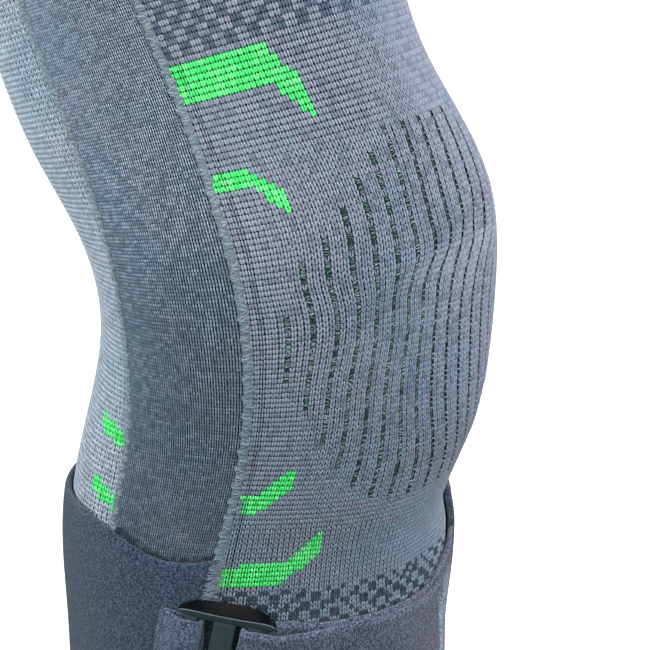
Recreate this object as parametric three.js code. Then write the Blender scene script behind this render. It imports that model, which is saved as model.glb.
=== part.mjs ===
// Knitted knee support, shaped as it is worn on a slightly bent knee, with a plush calf strap
// that closes through a plastic slider buckle. Millimetres, +Z up, kneecap towards -Y.
// The origin is the middle of the knee, on the axis of the leg's hollow.
import * as THREE from 'three';

// Sleeve. "Along" is measured on the leg's axis from the knee's middle, upwards positive.
const SLEEVE_TOP = 135;
const SLEEVE_BOTTOM = -150;
const KNIT_WALL = 2.4;
const SEAM_GAP = 0.3;
const HEM_HEIGHT = 7;
const HEM_PROUD = 0.6;
const HEM_STEP = 1;

// The axis is upright below the knee and leans back above it, turning over the bend's length.
const THIGH_LEAN = 21;
const BEND_LENGTH = 164;
const AXIS_STEPS = 48;

// One row for each section across the leg: half width, reach to the front and the back,
// sharpness of the front crest, and the angles of the two seams on each side from the front.
const SECTIONS = [
  { along: -150, halfWidth: 57.5, front: 52.5, back: 63.0, crest: 3.0, frontSeam: 74.0, rearSeam: 102.0 },
  { along: -110, halfWidth: 60.0, front: 51.0, back: 60.0, crest: 3.5, frontSeam: 74.3, rearSeam: 102.0 },
  { along: -75, halfWidth: 61.5, front: 51.5, back: 57.0, crest: 4.0, frontSeam: 68.8, rearSeam: 101.5 },
  { along: -45, halfWidth: 59.5, front: 64.5, back: 55.0, crest: 2.5, frontSeam: 59.9, rearSeam: 98.5 },
  { along: -15, halfWidth: 59.0, front: 69.0, back: 53.5, crest: -1.0, frontSeam: 54.5, rearSeam: 97.0 },
  { along: 15, halfWidth: 59.0, front: 72.5, back: 56.0, crest: -1.0, frontSeam: 54.3, rearSeam: 97.5 },
  { along: 50, halfWidth: 57.5, front: 64.0, back: 62.5, crest: 2.0, frontSeam: 60.2, rearSeam: 100.0 },
  { along: 90, halfWidth: 60.5, front: 63.0, back: 67.5, crest: 1.5, frontSeam: 64.7, rearSeam: 100.5 },
  { along: 135, halfWidth: 66.0, front: 69.5, back: 72.5, crest: 0.5, frontSeam: 66.3, rearSeam: 100.0 },
];

// Slanting furrow under the kneecap's upper half, from one end to the other.
const FURROW = { fromAngle: -22, fromAlong: -7, toAngle: 18, toAlong: 8, depth: 1.6, halfWidth: 5 };
const FURROW_RADIUS = 70;

// Mesh fineness: rows along the leg and columns across each panel.
const PANEL_ROWS = 32;
const FRONT_COLUMNS = 20;
const BACK_COLUMNS = 18;
const SIDE_COLUMNS = 5;

// Calf wrap, sewn on at the lateral front seam and highest at the back of the calf. Its other end
// lies further forward, on the medial side of the shin, where the strap carries on from it.
const LAYER_GAP = 0.4;
const WRAP_WALL = 2.2;
const WRAP_BOTTOM = -142;
const WRAP_TOP_FRONT = -75.5;
const WRAP_TOP_BACK = -68;
const WRAP_DIP = 1.6;
const WRAP_DIP_ANGLE = 9;
const WRAP_RISE_ANGLES = [12, 42];
const WRAP_MEDIAL_EDGE = 41;
const WRAP_ROWS = 7;
const WRAP_COLUMNS = 38;

// Outward lean of the plush on the medial side of the shin: between which angles it rises and fades,
// and between which heights it grows and is drawn in again to the wrap's top corner.
const FLARE = { depth: 3.7, riseFrom: 5, riseTo: 35, fadeFrom: 60, fadeTo: 110 };
const FLARE_HEIGHTS = { growFrom: -125, growTo: -90, tuckFrom: -88, tuckTo: -74, tuckShare: 0.7 };

// Buckle, in its own flat coordinates: "across" runs along the strap towards the front of the
// shin, "height" is up from the lower edge of the top bar.
const BUCKLE_ANGLE = -64.9;
const BUCKLE_ALONG = -94.9;
const BUCKLE_TILT = 12;
const MM_PER_DEGREE = 1.08;
const SLOT_HEIGHT = 48.2;
const SLOT_ROWS = 6;
const BAR_HEIGHT = 2.8;
const BAR_SKIRT = 3.9;
const END_SKIRT = 0.6;
const END_SHARE = 0.25;
const END_POWER = 6;
const END_LIFT = 1.2;
const HALF_LENGTH = 15;
const REAR_BAR = [-12.8, -9.2];
const CENTRE_BAR = [-4.3, 2.6];
const FRONT_BAR = [6.3, 11];
const PLATE_BACK = 4.6;
const PLATE_FACE = 7.4;
const BAR_FACE = 6.2;

// Plush tab round the buckle's rear bar.
const TAB_WALL = 1.2;
const TAB_REAR = -21;
const TAB_LAP = -18.4;
const TAB_TOP = -1.5;
const TAB_BOTTOM = -45.5;
const TAB_LAP_PROUD = 5.4;
const TAB_LAP_STEPS = 2;

// Front strap: inner layer, fold round the front bar, outer layer back over it.
const STRAP_WALL = 1.6;
const STRAP_INNER_TOP = -98.3;
const STRAP_MEDIAL_TOP = -88.5;
const STRAP_RISE_ANGLES = [8, 40];
const STRAP_OUTER_TOP = -98.9;
const STRAP_FOLD_TOP = -97.2;
const STRAP_TUCK_TOP = -96;
const STRAP_BOTTOM = -142;
const STRAP_INNER_END = 40.4;
const STRAP_OUTER_END = 18;
const STRAP_TUCK_ACROSS = 15;
const STRAP_SETTLE_ACROSS = 22;
const STRAP_EVEN_ACROSS = 31;
const STRAP_MERGE_ACROSS = 44;
const STRAP_STEP = 5;
const STRAP_ROWS = 4;
const FOLD_CLEARANCE = 0.4;
const FOLD_STEPS = 3;

const rad = THREE.MathUtils.degToRad;
const smooth = (value, low, high) => THREE.MathUtils.smoothstep(value, low, high);
const blend = (low, high, share) => low + (high - low) * share;

// Natural cubic spline through one column of the sections table.
function sectionCurve(column) {
  const x = SECTIONS.map((row) => row.along);
  const y = SECTIONS.map((row) => row[column]);
  const last = x.length - 1;
  const bend = new Array(last + 1).fill(0);
  const carry = new Array(last + 1).fill(0);
  for (let i = 1; i < last; i++) {
    const before = x[i] - x[i - 1];
    const after = x[i + 1] - x[i];
    const turn = (y[i + 1] - y[i]) / after - (y[i] - y[i - 1]) / before;
    const pivot = 2 * (before + after) - before * carry[i - 1];
    carry[i] = after / pivot;
    bend[i] = (6 * turn - before * bend[i - 1]) / pivot;
  }
  for (let i = last - 1; i > 0; i--) {
    bend[i] -= carry[i] * bend[i + 1];
  }
  return (along) => {
    let i = 0;
    while (i < last - 1 && along > x[i + 1]) i++;
    const span = x[i + 1] - x[i];
    const a = (x[i + 1] - along) / span;
    const b = 1 - a;
    const curl = ((a ** 3 - a) * bend[i] + (b ** 3 - b) * bend[i + 1]) * span * span / 6;
    return a * y[i] + b * y[i + 1] + curl;
  };
}

const halfWidthAt = sectionCurve('halfWidth');
const frontAt = sectionCurve('front');
const backAt = sectionCurve('back');
const crestAt = sectionCurve('crest');
const frontSeamAt = sectionCurve('frontSeam');
const rearSeamAt = sectionCurve('rearSeam');

const leanAt = (along) => rad(THIGH_LEAN) * smooth(along, -BEND_LENGTH / 2, BEND_LENGTH / 2);

// Point on the leg's axis, by adding up short steps in the direction of its lean.
function axisAt(along) {
  const step = along / AXIS_STEPS;
  let y = 0;
  let z = 0;
  for (let i = 0; i < AXIS_STEPS; i++) {
    const lean = leanAt((i + 0.5) * step);
    y += Math.sin(lean) * step;
    z += Math.cos(lean) * step;
  }
  return { y, z };
}

// Depth of the furrow at a place on the front: a soft groove round a straight segment.
function furrowAt(along, angle) {
  const arc = rad(1) * FURROW_RADIUS;
  const runX = (FURROW.toAngle - FURROW.fromAngle) * arc;
  const runY = FURROW.toAlong - FURROW.fromAlong;
  const x = (angle - FURROW.fromAngle) * arc;
  const y = along - FURROW.fromAlong;
  const share = THREE.MathUtils.clamp((x * runX + y * runY) / (runX * runX + runY * runY), 0, 1);
  const away = Math.hypot(x - share * runX, y - share * runY) / FURROW.halfWidth;
  return FURROW.depth * Math.exp(-away * away);
}

// Radius of the sleeve's outer face: an ellipse-like section whose front can be sharpened to a crest.
function radiusAt(along, angle) {
  const front = frontAt(along);
  const back = backAt(along);
  const width = halfWidthAt(along);
  const crest = crestAt(along);
  const t = rad(angle);
  const mean = (front + back + 2 * width) / 4;
  const shift = (front - back) / 2 - crest;
  const oval = (front + back - 2 * width) / 4;
  const form = mean + shift * Math.cos(t) + oval * Math.cos(2 * t) + crest * Math.cos(3 * t);
  return form - furrowAt(along, angle);
}

// Place on the leg: along the axis, round from the front (negative is lateral) and proud of the knit.
function legPoint(along, angle, proud) {
  const axis = axisAt(along);
  const lean = leanAt(along);
  const radius = radiusAt(along, angle) + proud;
  const forward = radius * Math.cos(rad(angle));
  return new THREE.Vector3(
    radius * Math.sin(rad(angle)),
    axis.y - forward * Math.cos(lean),
    axis.z + forward * Math.sin(lean),
  );
}

// Closed solid between two grids of points with the same rows and columns. Cells that keep()
// refuses are left out, and the cut edges get walls.
function slab(inner, outer, keep = () => true) {
  const rows = inner.length;
  const columns = inner[0].length;
  const positions = [];
  for (const grid of [inner, outer]) {
    for (const row of grid) {
      for (const p of row) positions.push(p.x, p.y, p.z);
    }
  }
  const low = (j, i) => j * columns + i;
  const high = (j, i) => rows * columns + low(j, i);
  const index = [];
  const quad = (a, b, c, d) => index.push(a, b, c, a, c, d);
  const kept = (j, i) => j >= 0 && i >= 0 && j < rows - 1 && i < columns - 1 && keep(j, i);
  for (let j = 0; j < rows - 1; j++) {
    for (let i = 0; i < columns - 1; i++) {
      if (!kept(j, i)) continue;
      quad(high(j, i), high(j, i + 1), high(j + 1, i + 1), high(j + 1, i));
      quad(low(j, i), low(j + 1, i), low(j + 1, i + 1), low(j, i + 1));
      if (!kept(j - 1, i)) quad(low(j, i), low(j, i + 1), high(j, i + 1), high(j, i));
      if (!kept(j + 1, i)) quad(low(j + 1, i + 1), low(j + 1, i), high(j + 1, i), high(j + 1, i + 1));
      if (!kept(j, i - 1)) quad(low(j + 1, i), low(j, i), high(j, i), high(j + 1, i));
      if (!kept(j, i + 1)) quad(low(j, i + 1), low(j + 1, i + 1), high(j + 1, i + 1), high(j, i + 1));
    }
  }
  const geometry = new THREE.BufferGeometry();
  geometry.setAttribute('position', new THREE.Float32BufferAttribute(positions, 3));
  geometry.setIndex(index);
  return dropUnused(geometry);
}

// Removes points that no triangle uses, so that a cut-out grid stays one clean body.
function dropUnused(geometry) {
  const source = geometry.getAttribute('position');
  const renumbered = new Map();
  const positions = [];
  const index = Array.from(geometry.getIndex().array, (old) => {
    if (!renumbered.has(old)) {
      renumbered.set(old, renumbered.size);
      positions.push(source.getX(old), source.getY(old), source.getZ(old));
    }
    return renumbered.get(old);
  });
  const clean = new THREE.BufferGeometry();
  clean.setAttribute('position', new THREE.Float32BufferAttribute(positions, 3));
  clean.setIndex(index);
  clean.computeVertexNormals();
  return clean;
}

function piece(name, geometry, color, roughness) {
  const mesh = new THREE.Mesh(geometry, new THREE.MeshStandardMaterial({ color, roughness, metalness: 0 }));
  mesh.name = name;
  return mesh;
}

const spread = (low, high, count) => Array.from({ length: count + 1 }, (_, i) => blend(low, high, i / count));

// Rows of a panel: a hem at each rim and even steps between.
const panelRows = [
  SLEEVE_BOTTOM,
  SLEEVE_BOTTOM + HEM_HEIGHT,
  ...spread(SLEEVE_BOTTOM + HEM_HEIGHT + HEM_STEP, SLEEVE_TOP - HEM_HEIGHT - HEM_STEP, PANEL_ROWS),
  SLEEVE_TOP - HEM_HEIGHT,
  SLEEVE_TOP,
];

const hemAt = (along) => {
  const inHem = along <= SLEEVE_BOTTOM + HEM_HEIGHT || along >= SLEEVE_TOP - HEM_HEIGHT;
  return inHem ? HEM_PROUD : 0;
};

// Knit panel between two seams, given as functions of the place along the leg.
function knitPanel(fromSeam, toSeam, columns) {
  const grid = (proudOf) => panelRows.map((along) => {
    const gap = SEAM_GAP / 2 / (rad(1) * radiusAt(along, fromSeam(along)));
    const angles = spread(fromSeam(along) + gap, toSeam(along) - gap, columns);
    return angles.map((angle) => legPoint(along, angle, proudOf(along)));
  });
  return slab(grid(() => -KNIT_WALL), grid(hemAt));
}

// How far the plush leans out of its resting place.
function flareAt(along, angle) {
  const { growFrom, growTo, tuckFrom, tuckTo, tuckShare } = FLARE_HEIGHTS;
  const rise = smooth(angle, FLARE.riseFrom, FLARE.riseTo);
  const fade = 1 - smooth(angle, FLARE.fadeFrom, FLARE.fadeTo);
  const up = smooth(along, growFrom, growTo) * (1 - tuckShare * smooth(along, tuckFrom, tuckTo));
  return FLARE.depth * rise * fade * up;
}

// Calf wrap from its medial end round the back to the lateral front seam.
function calfWrap() {
  const grid = (proud) => spread(0, 1, WRAP_ROWS).map((share) => {
    const lateralEdge = 360 - frontSeamAt(blend(WRAP_BOTTOM, WRAP_TOP_FRONT, share));
    return spread(WRAP_MEDIAL_EDGE, lateralEdge, WRAP_COLUMNS).map((angle) => {
      const fromEnd = Math.min(angle - WRAP_MEDIAL_EDGE, lateralEdge - angle);
      const low = WRAP_TOP_FRONT - WRAP_DIP * smooth(fromEnd, 0, WRAP_DIP_ANGLE);
      const top = blend(low, WRAP_TOP_BACK, smooth(fromEnd, ...WRAP_RISE_ANGLES));
      const along = blend(WRAP_BOTTOM, top, share);
      return legPoint(along, angle, proud + flareAt(along, angle));
    });
  });
  return slab(grid(LAYER_GAP), grid(LAYER_GAP + WRAP_WALL));
}

// Place in the buckle's tilted coordinates.
function bucklePoint(across, height, proud) {
  const tilt = rad(BUCKLE_TILT);
  const arc = across * Math.cos(tilt) + height * Math.sin(tilt);
  const along = BUCKLE_ALONG + height * Math.cos(tilt) - across * Math.sin(tilt);
  return legPoint(along, BUCKLE_ANGLE + arc / MM_PER_DEGREE, proud);
}

// Slider frame: a plate with two slots. Its long bars have rounded ends, a face that bows outwards
// and, behind the face, a sloping skirt that is widest in the middle.
function buckleFrame() {
  const across = [-HALF_LENGTH, ...REAR_BAR, ...CENTRE_BAR, ...FRONT_BAR, HALF_LENGTH];
  const split = across.flatMap((value, i) => (i ? [(value + across[i - 1]) / 2, value] : [value]));
  const slotRows = spread(-SLOT_HEIGHT, 0, SLOT_ROWS);
  const rows = [-SLOT_HEIGHT, ...slotRows, 0];
  const last = rows.length - 1;
  const bars = [REAR_BAR, CENTRE_BAR, FRONT_BAR];
  const inBar = (value) => bars.some(([low, high]) => value > low && value < high);
  const bow = (value) => Math.sqrt(1 - (value / HALF_LENGTH) ** 2);
  const rounding = (value) => Math.max(END_SHARE, Math.sqrt(1 - (value / HALF_LENGTH) ** END_POWER));
  const grid = (face) => rows.map((height, j) => split.map((value) => {
    const up = j > last / 2 ? 1 : -1;
    const outer = j === 0 || j === last;
    const slotEdge = j === 1 || j === last - 1;
    const lift = outer || slotEdge ? END_LIFT * (1 - rounding(value)) : 0;
    const bar = outer ? BAR_HEIGHT * rounding(value) : 0;
    const edge = height + up * (lift + bar);
    if (face) {
      return bucklePoint(value, edge, outer ? blend(BAR_FACE, PLATE_FACE, bow(value)) : BAR_FACE);
    }
    const atEnd = Math.abs(value) === HALF_LENGTH ? Math.sign(value) * END_SKIRT : 0;
    const skirt = outer ? BAR_SKIRT * bow(value) : 0;
    return bucklePoint(value + atEnd, edge + up * skirt, PLATE_BACK);
  }));
  const keep = (j, i) => j === 0 || j === last - 1 || inBar((split[i] + split[i + 1]) / 2);
  return slab(grid(false), grid(true), keep);
}

// Path round one upright bar of the buckle, from under it to over it. side is the direction,
// along "across", of the slot that the strip comes through.
function foldPath(barEdge, side, wall) {
  const reach = FOLD_CLEARANCE + wall / 2;
  const turn = spread(0, Math.PI / 2, FOLD_STEPS);
  const lower = turn.map((a) => [barEdge + side * reach * Math.sin(a), PLATE_BACK - reach * Math.cos(a)]);
  const upper = turn.map((a) => [barEdge + side * reach * Math.cos(a), BAR_FACE + reach * Math.sin(a)]);
  return [...lower, ...upper];
}

// Both faces of a folded strip, from its middle line in (across, proud) and its thickness.
function stripFaces(path, wall) {
  return [-1, 1].map((side) => path.map(([across, proud], i) => {
    const [fromAcross, fromProud] = path[Math.max(i - 1, 0)];
    const [toAcross, toProud] = path[Math.min(i + 1, path.length - 1)];
    const length = Math.hypot(toAcross - fromAcross, toProud - fromProud);
    const offset = side * wall / 2 / length;
    return [across - offset * (toProud - fromProud), proud + offset * (toAcross - fromAcross)];
  }));
}

// Tab: lies on the wrap, passes under the rear bar, up through the rear slot and back over the bar.
function buckleTab() {
  const under = PLATE_BACK - FOLD_CLEARANCE - TAB_WALL / 2;
  const over = BAR_FACE + FOLD_CLEARANCE + TAB_WALL / 2;
  const lap = spread(0, 1, TAB_LAP_STEPS).map(
    (share) => [blend(REAR_BAR[0], TAB_LAP, share), blend(over, TAB_LAP_PROUD, smooth(share, 0, 1))],
  );
  const path = [[TAB_REAR, under], [REAR_BAR[0], under], ...foldPath(REAR_BAR[1], 1, TAB_WALL), ...lap];
  const heights = spread(TAB_BOTTOM, TAB_TOP, STRAP_ROWS);
  const grid = (face) => heights.map(
    (height) => face.map(([across, proud]) => bucklePoint(across, height, proud)),
  );
  const [right, left] = stripFaces(path, TAB_WALL);
  return slab(grid(right), grid(left));
}

// Strap: from the medial end of the wrap across the shin, under the front bar, up through the
// front slot, and back over itself to a free end on the shin.
function frontStrap() {
  const toAcross = (angle) => (angle - BUCKLE_ANGLE) * MM_PER_DEGREE;
  const innerProud = LAYER_GAP + STRAP_WALL / 2;
  const outerProud = innerProud + LAYER_GAP + STRAP_WALL;
  const under = PLATE_BACK - FOLD_CLEARANCE - STRAP_WALL / 2;
  const over = BAR_FACE + FOLD_CLEARANCE + STRAP_WALL / 2;
  const steps = (from, to) => spread(from, to, Math.round(Math.abs(to - from) / STRAP_STEP));
  const innerEnd = toAcross(STRAP_INNER_END);
  const outerEnd = toAcross(STRAP_OUTER_END);
  const inner = steps(innerEnd, FRONT_BAR[1]).map(
    (across) => [across, blend(under, innerProud, smooth(across, FRONT_BAR[1], STRAP_SETTLE_ACROSS))],
  );
  const outer = steps(FRONT_BAR[1], outerEnd).map(
    (across) => [across, blend(over, outerProud, smooth(across, FRONT_BAR[1], STRAP_MERGE_ACROSS))],
  );
  const path = [...inner, ...foldPath(FRONT_BAR[0], -1, STRAP_WALL), ...outer];
  const shear = Math.tan(rad(BUCKLE_TILT));
  const topOf = (i) => {
    const across = path[i][0];
    const rise = smooth(BUCKLE_ANGLE + across / MM_PER_DEGREE, ...STRAP_RISE_ANGLES);
    const innerTop = blend(STRAP_INNER_TOP, STRAP_MEDIAL_TOP, rise);
    const outerTop = innerTop + STRAP_OUTER_TOP - STRAP_INNER_TOP;
    const tucked = blend(STRAP_TUCK_TOP, innerTop, smooth(across, FRONT_BAR[1], STRAP_EVEN_ACROSS));
    const isInner = i < inner.length;
    const settled = smooth(across, FRONT_BAR[1], isInner ? STRAP_TUCK_ACROSS : STRAP_SETTLE_ACROSS);
    return blend(STRAP_FOLD_TOP - (across - FRONT_BAR[0]) * shear, isInner ? tucked : outerTop, settled);
  };
  const grid = (face) => spread(0, 1, STRAP_ROWS).map((share) => face.map(([across, proud], i) => {
    const along = blend(STRAP_BOTTOM, topOf(i), share);
    const near = 1 - smooth(path[i][0], FRONT_BAR[1], STRAP_MERGE_ACROSS);
    const skew = near * (along - BUCKLE_ALONG) * shear;
    const arc = blend(across, across / Math.cos(rad(BUCKLE_TILT)), near) + skew;
    const angle = BUCKLE_ANGLE + arc / MM_PER_DEGREE;
    return legPoint(along, angle, proud + flareAt(along, angle));
  }));
  const [right, left] = stripFaces(path, STRAP_WALL);
  return slab(grid(right), grid(left));
}

const mirrored = (seam) => (along) => -seam(along);
const behind = (seam) => (along) => 360 - seam(along);
const KNIT_GREY = 0x868c9d;
const RIB_GREY = 0x69758a;
const PLUSH_GREY = 0x505a72;
const BLACK_PLASTIC = 0x1c2228;
const KNIT_ROUGHNESS = 0.85;
const PLUSH_ROUGHNESS = 0.95;
const PLASTIC_ROUGHNESS = 0.4;

const frontPanel = knitPanel(mirrored(frontSeamAt), frontSeamAt, FRONT_COLUMNS);
const medialPanel = knitPanel(frontSeamAt, rearSeamAt, SIDE_COLUMNS);
const backPanel = knitPanel(rearSeamAt, behind(rearSeamAt), BACK_COLUMNS);
const lateralPanel = knitPanel(behind(rearSeamAt), behind(frontSeamAt), SIDE_COLUMNS);

const kneeSupport = new THREE.Group();
kneeSupport.add(
  piece('front_panel', frontPanel, KNIT_GREY, KNIT_ROUGHNESS),
  piece('medial_panel', medialPanel, RIB_GREY, KNIT_ROUGHNESS),
  piece('back_panel', backPanel, KNIT_GREY, KNIT_ROUGHNESS),
  piece('lateral_panel', lateralPanel, RIB_GREY, KNIT_ROUGHNESS),
  piece('calf_wrap', calfWrap(), PLUSH_GREY, PLUSH_ROUGHNESS),
  piece('buckle', buckleFrame(), BLACK_PLASTIC, PLASTIC_ROUGHNESS),
  piece('buckle_tab', buckleTab(), PLUSH_GREY, PLUSH_ROUGHNESS),
  piece('front_strap', frontStrap(), PLUSH_GREY, PLUSH_ROUGHNESS),
);

export default kneeSupport;
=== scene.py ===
# %% [markdown]
# # A knitted knee support
# A pull-on sleeve, knitted in four panels that are overlocked together, with a plush strap round the
# calf that closes through a plastic slider. The frame below is the plain CAD part. This lesson dresses
# it: every stitch of the knit is a small solid of its own, and all of them are worked out in numpy as
# whole arrays, because a Python loop over a hundred thousand legs of yarn would take minutes.

import bpy
import numpy as np
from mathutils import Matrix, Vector


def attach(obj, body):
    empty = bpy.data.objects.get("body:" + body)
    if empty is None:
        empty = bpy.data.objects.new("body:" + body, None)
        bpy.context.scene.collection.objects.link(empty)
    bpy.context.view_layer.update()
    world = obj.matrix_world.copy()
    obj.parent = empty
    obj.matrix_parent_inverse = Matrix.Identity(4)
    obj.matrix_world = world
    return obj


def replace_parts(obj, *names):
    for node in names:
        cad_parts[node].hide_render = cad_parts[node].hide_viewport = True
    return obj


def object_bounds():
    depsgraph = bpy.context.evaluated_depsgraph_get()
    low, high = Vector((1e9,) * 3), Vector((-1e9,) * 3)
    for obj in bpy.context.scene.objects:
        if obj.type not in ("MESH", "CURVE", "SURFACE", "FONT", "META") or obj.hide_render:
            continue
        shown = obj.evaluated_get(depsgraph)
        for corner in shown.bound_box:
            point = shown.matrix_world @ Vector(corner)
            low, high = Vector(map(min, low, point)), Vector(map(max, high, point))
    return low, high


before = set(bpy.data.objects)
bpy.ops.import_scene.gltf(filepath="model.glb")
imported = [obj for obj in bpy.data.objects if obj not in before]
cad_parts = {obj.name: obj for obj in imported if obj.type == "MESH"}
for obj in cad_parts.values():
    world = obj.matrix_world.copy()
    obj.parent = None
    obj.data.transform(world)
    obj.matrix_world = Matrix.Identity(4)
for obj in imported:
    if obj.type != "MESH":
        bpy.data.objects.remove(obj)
cad_low, cad_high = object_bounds()
MM = 0.001
rng = np.random.default_rng(20)
print("CAD nodes:", sorted(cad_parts))

# %% [markdown]
# ## The form of the sleeve
# Everything lies on one surface, so it comes first. Sections across it are ovals whose front can be
# sharpened to a crest, and its axis leans back above the knee. A table of nine sections with
# a smooth curve through each column is enough, and it is easy to change by hand.

# %% Sections of the sleeve
SECTION_COLUMNS = ("along", "half_width", "front", "back", "crest", "front_seam", "rear_seam")
SECTIONS = np.array([
    (-150, 57.5, 52.5, 63.0, 3.0, 74.0, 102.0),
    (-110, 60.0, 51.0, 60.0, 3.5, 74.3, 102.0),
    (-75, 61.5, 51.5, 57.0, 4.0, 68.8, 101.5),
    (-45, 59.5, 64.5, 55.0, 2.5, 59.9, 98.5),
    (-15, 59.0, 69.0, 53.5, -1.0, 54.5, 97.0),
    (15, 59.0, 72.5, 56.0, -1.0, 54.3, 97.5),
    (50, 57.5, 64.0, 62.5, 2.0, 60.2, 100.0),
    (90, 60.5, 63.0, 67.5, 1.5, 64.7, 100.5),
    (135, 66.0, 69.5, 72.5, 0.5, 66.3, 100.0),
])
THIGH_LEAN = 21.0
BEND_LENGTH = 164.0


def smooth(value, low, high):
    """0 below low, 1 above high, and an S-shaped rise between."""
    share = np.clip((value - low) / (high - low), 0.0, 1.0)
    return share * share * (3.0 - 2.0 * share)


def blend(low, high, share):
    """The value that lies this share of the way from low to high."""
    return low + (high - low) * share


def natural_spline(x, y):
    """Cubics between the points, with equal slope and bend where two meet and no bend at the ends."""
    step = np.diff(x)
    slope = np.diff(y) / step
    inner = np.arange(1, len(x) - 1)
    system = np.eye(len(x))
    system[inner, inner - 1] = step[:-1]
    system[inner, inner] = 2.0 * (step[:-1] + step[1:])
    system[inner, inner + 1] = step[1:]
    turn = np.zeros(len(x))
    turn[inner] = 6.0 * np.diff(slope)
    bend = np.linalg.solve(system, turn)

    def curve(at):
        at = np.clip(at, x[0], x[-1])
        i = np.clip(np.searchsorted(x, at) - 1, 0, len(step) - 1)
        a = (x[i + 1] - at) / step[i]
        b = 1.0 - a
        curl = ((a**3 - a) * bend[i] + (b**3 - b) * bend[i + 1]) * step[i] ** 2 / 6.0
        return a * y[i] + b * y[i + 1] + curl

    return curve


def table_curves(columns, table):
    """A smooth curve for each column of a table, over its first column."""
    return {name: natural_spline(table[:, 0], table[:, i]) for i, name in enumerate(columns) if i}


section = table_curves(SECTION_COLUMNS, SECTIONS)
print("knee:", {name: round(float(curve(0.0)), 1) for name, curve in section.items()})

# %% The sleeve's surface
FURROW_FROM = np.array([-22.0, -7.0])
FURROW_TO = np.array([18.0, 8.0])
FURROW_DEPTH = 1.6
FURROW_HALF_WIDTH = 5.0
FURROW_RADIUS = 70.0
AXIS_SPAN = (-170.0, 160.0)
AXIS_POINTS = 1321
OUT_STEP = 5.0

axis_along = np.linspace(*AXIS_SPAN, AXIS_POINTS)
axis_lean = np.radians(THIGH_LEAN) * smooth(axis_along, -BEND_LENGTH / 2, BEND_LENGTH / 2)
axis_step = axis_along[1] - axis_along[0]
axis_y = np.cumsum(np.sin(axis_lean)) * axis_step
axis_z = np.cumsum(np.cos(axis_lean)) * axis_step
axis_y -= np.interp(0.0, axis_along, axis_y)
axis_z -= np.interp(0.0, axis_along, axis_z)


def furrow(along, angle):
    """Depth of the soft groove across the kneecap: a bell curve of the distance to a straight segment."""
    scale = np.array([np.radians(1.0) * FURROW_RADIUS, 1.0])
    run = (FURROW_TO - FURROW_FROM) * scale
    x = (angle - FURROW_FROM[0]) * scale[0]
    y = along - FURROW_FROM[1]
    share = np.clip((x * run[0] + y * run[1]) / (run @ run), 0.0, 1.0)
    away = np.hypot(x - share * run[0], y - share * run[1]) / FURROW_HALF_WIDTH
    return FURROW_DEPTH * np.exp(-away * away)


def radius_at(along, angle):
    """Mean radius plus cosines of once, twice and three times the angle: shift, oval and crest."""
    front, back, width, crest = (section[n](along) for n in ("front", "back", "half_width", "crest"))
    t = np.radians(angle)
    mean = (front + back + 2.0 * width) / 4.0
    shift = (front - back) / 2.0 - crest
    oval = (front + back - 2.0 * width) / 4.0
    form = mean + shift * np.cos(t) + oval * np.cos(2.0 * t) + crest * np.cos(3.0 * t)
    turned = (angle + 180.0) % 360.0 - 180.0
    return form - furrow(along, turned)


def form_point(along, angle, proud):
    """Place in metres from the way up the axis, the angle from the front and the height off the knit."""
    along, angle, proud = np.broadcast_arrays(along, angle, proud)
    lean = np.interp(along, axis_along, axis_lean)
    radius = radius_at(along, angle) + proud
    forward = radius * np.cos(np.radians(angle))
    x = radius * np.sin(np.radians(angle))
    y = np.interp(along, axis_along, axis_y) - forward * np.cos(lean)
    z = np.interp(along, axis_along, axis_z) + forward * np.sin(lean)
    return np.stack([x, y, z], axis=-1) * MM


def outward(along, angle):
    """Direction that leads straight off the knit."""
    return unit(form_point(along, angle, OUT_STEP) - form_point(along, angle, 0.0))


print("kneecap front:", np.round(form_point(0.0, 0.0, 0.0) / MM, 1))

# %% [markdown]
# ## From arrays to pieces
# A mesh is three lists: points, corners and faces. foreach_set copies whole arrays into them, and every
# piece then rides on the frame's one body and takes its material.

# %% Helpers for meshes and pieces
pieces = {}


def make_piece(name, points, faces, material, layers=None, uv=None):
    """A mesh object from points (n, 3) and a list of face arrays, each with its own number of corners."""
    points = np.asarray(points, np.float32).reshape(-1, 3)
    faces = [np.asarray(f, np.int32) for f in faces if len(f)]
    corners = np.concatenate([f.ravel() for f in faces])
    sizes = np.concatenate([np.full(len(f), f.shape[1]) for f in faces])
    starts = np.concatenate([[0], np.cumsum(sizes)[:-1]]).astype(np.int32)
    mesh = bpy.data.meshes.new(name)
    mesh.vertices.add(len(points))
    mesh.vertices.foreach_set("co", points.ravel())
    mesh.loops.add(len(corners))
    mesh.loops.foreach_set("vertex_index", corners)
    mesh.polygons.add(len(sizes))
    mesh.polygons.foreach_set("loop_start", starts)
    mesh.polygons.foreach_set("use_smooth", np.full(len(sizes), True))
    mesh.update(calc_edges=True)
    for layer, values in (layers or {}).items():
        values = np.asarray(values, np.float32).ravel()
        mesh.attributes.new(layer, "FLOAT", "POINT").data.foreach_set("value", values)
    if uv is not None:
        cloth = mesh.uv_layers.new(name="cloth")
        cloth.uv.foreach_set("vector", np.asarray(uv, np.float32).reshape(-1, 2)[corners].ravel())
    mesh.materials.append(material)
    piece = bpy.data.objects.new(name, mesh)
    bpy.context.scene.collection.objects.link(piece)
    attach(piece, "root")
    pieces[name] = piece
    print(f"{name}: {int((sizes - 2).sum())} triangles")
    return piece


def ring_faces(rings, around):
    """Quads between neighbouring closed rings of points, numbered ring by ring."""
    j, i = np.meshgrid(np.arange(rings - 1), np.arange(around), indexing="ij")
    near, far = j * around, (j + 1) * around
    follow = (i + 1) % around
    return np.stack([near + i, near + follow, far + follow, far + i], -1).reshape(-1, 4)


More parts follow.
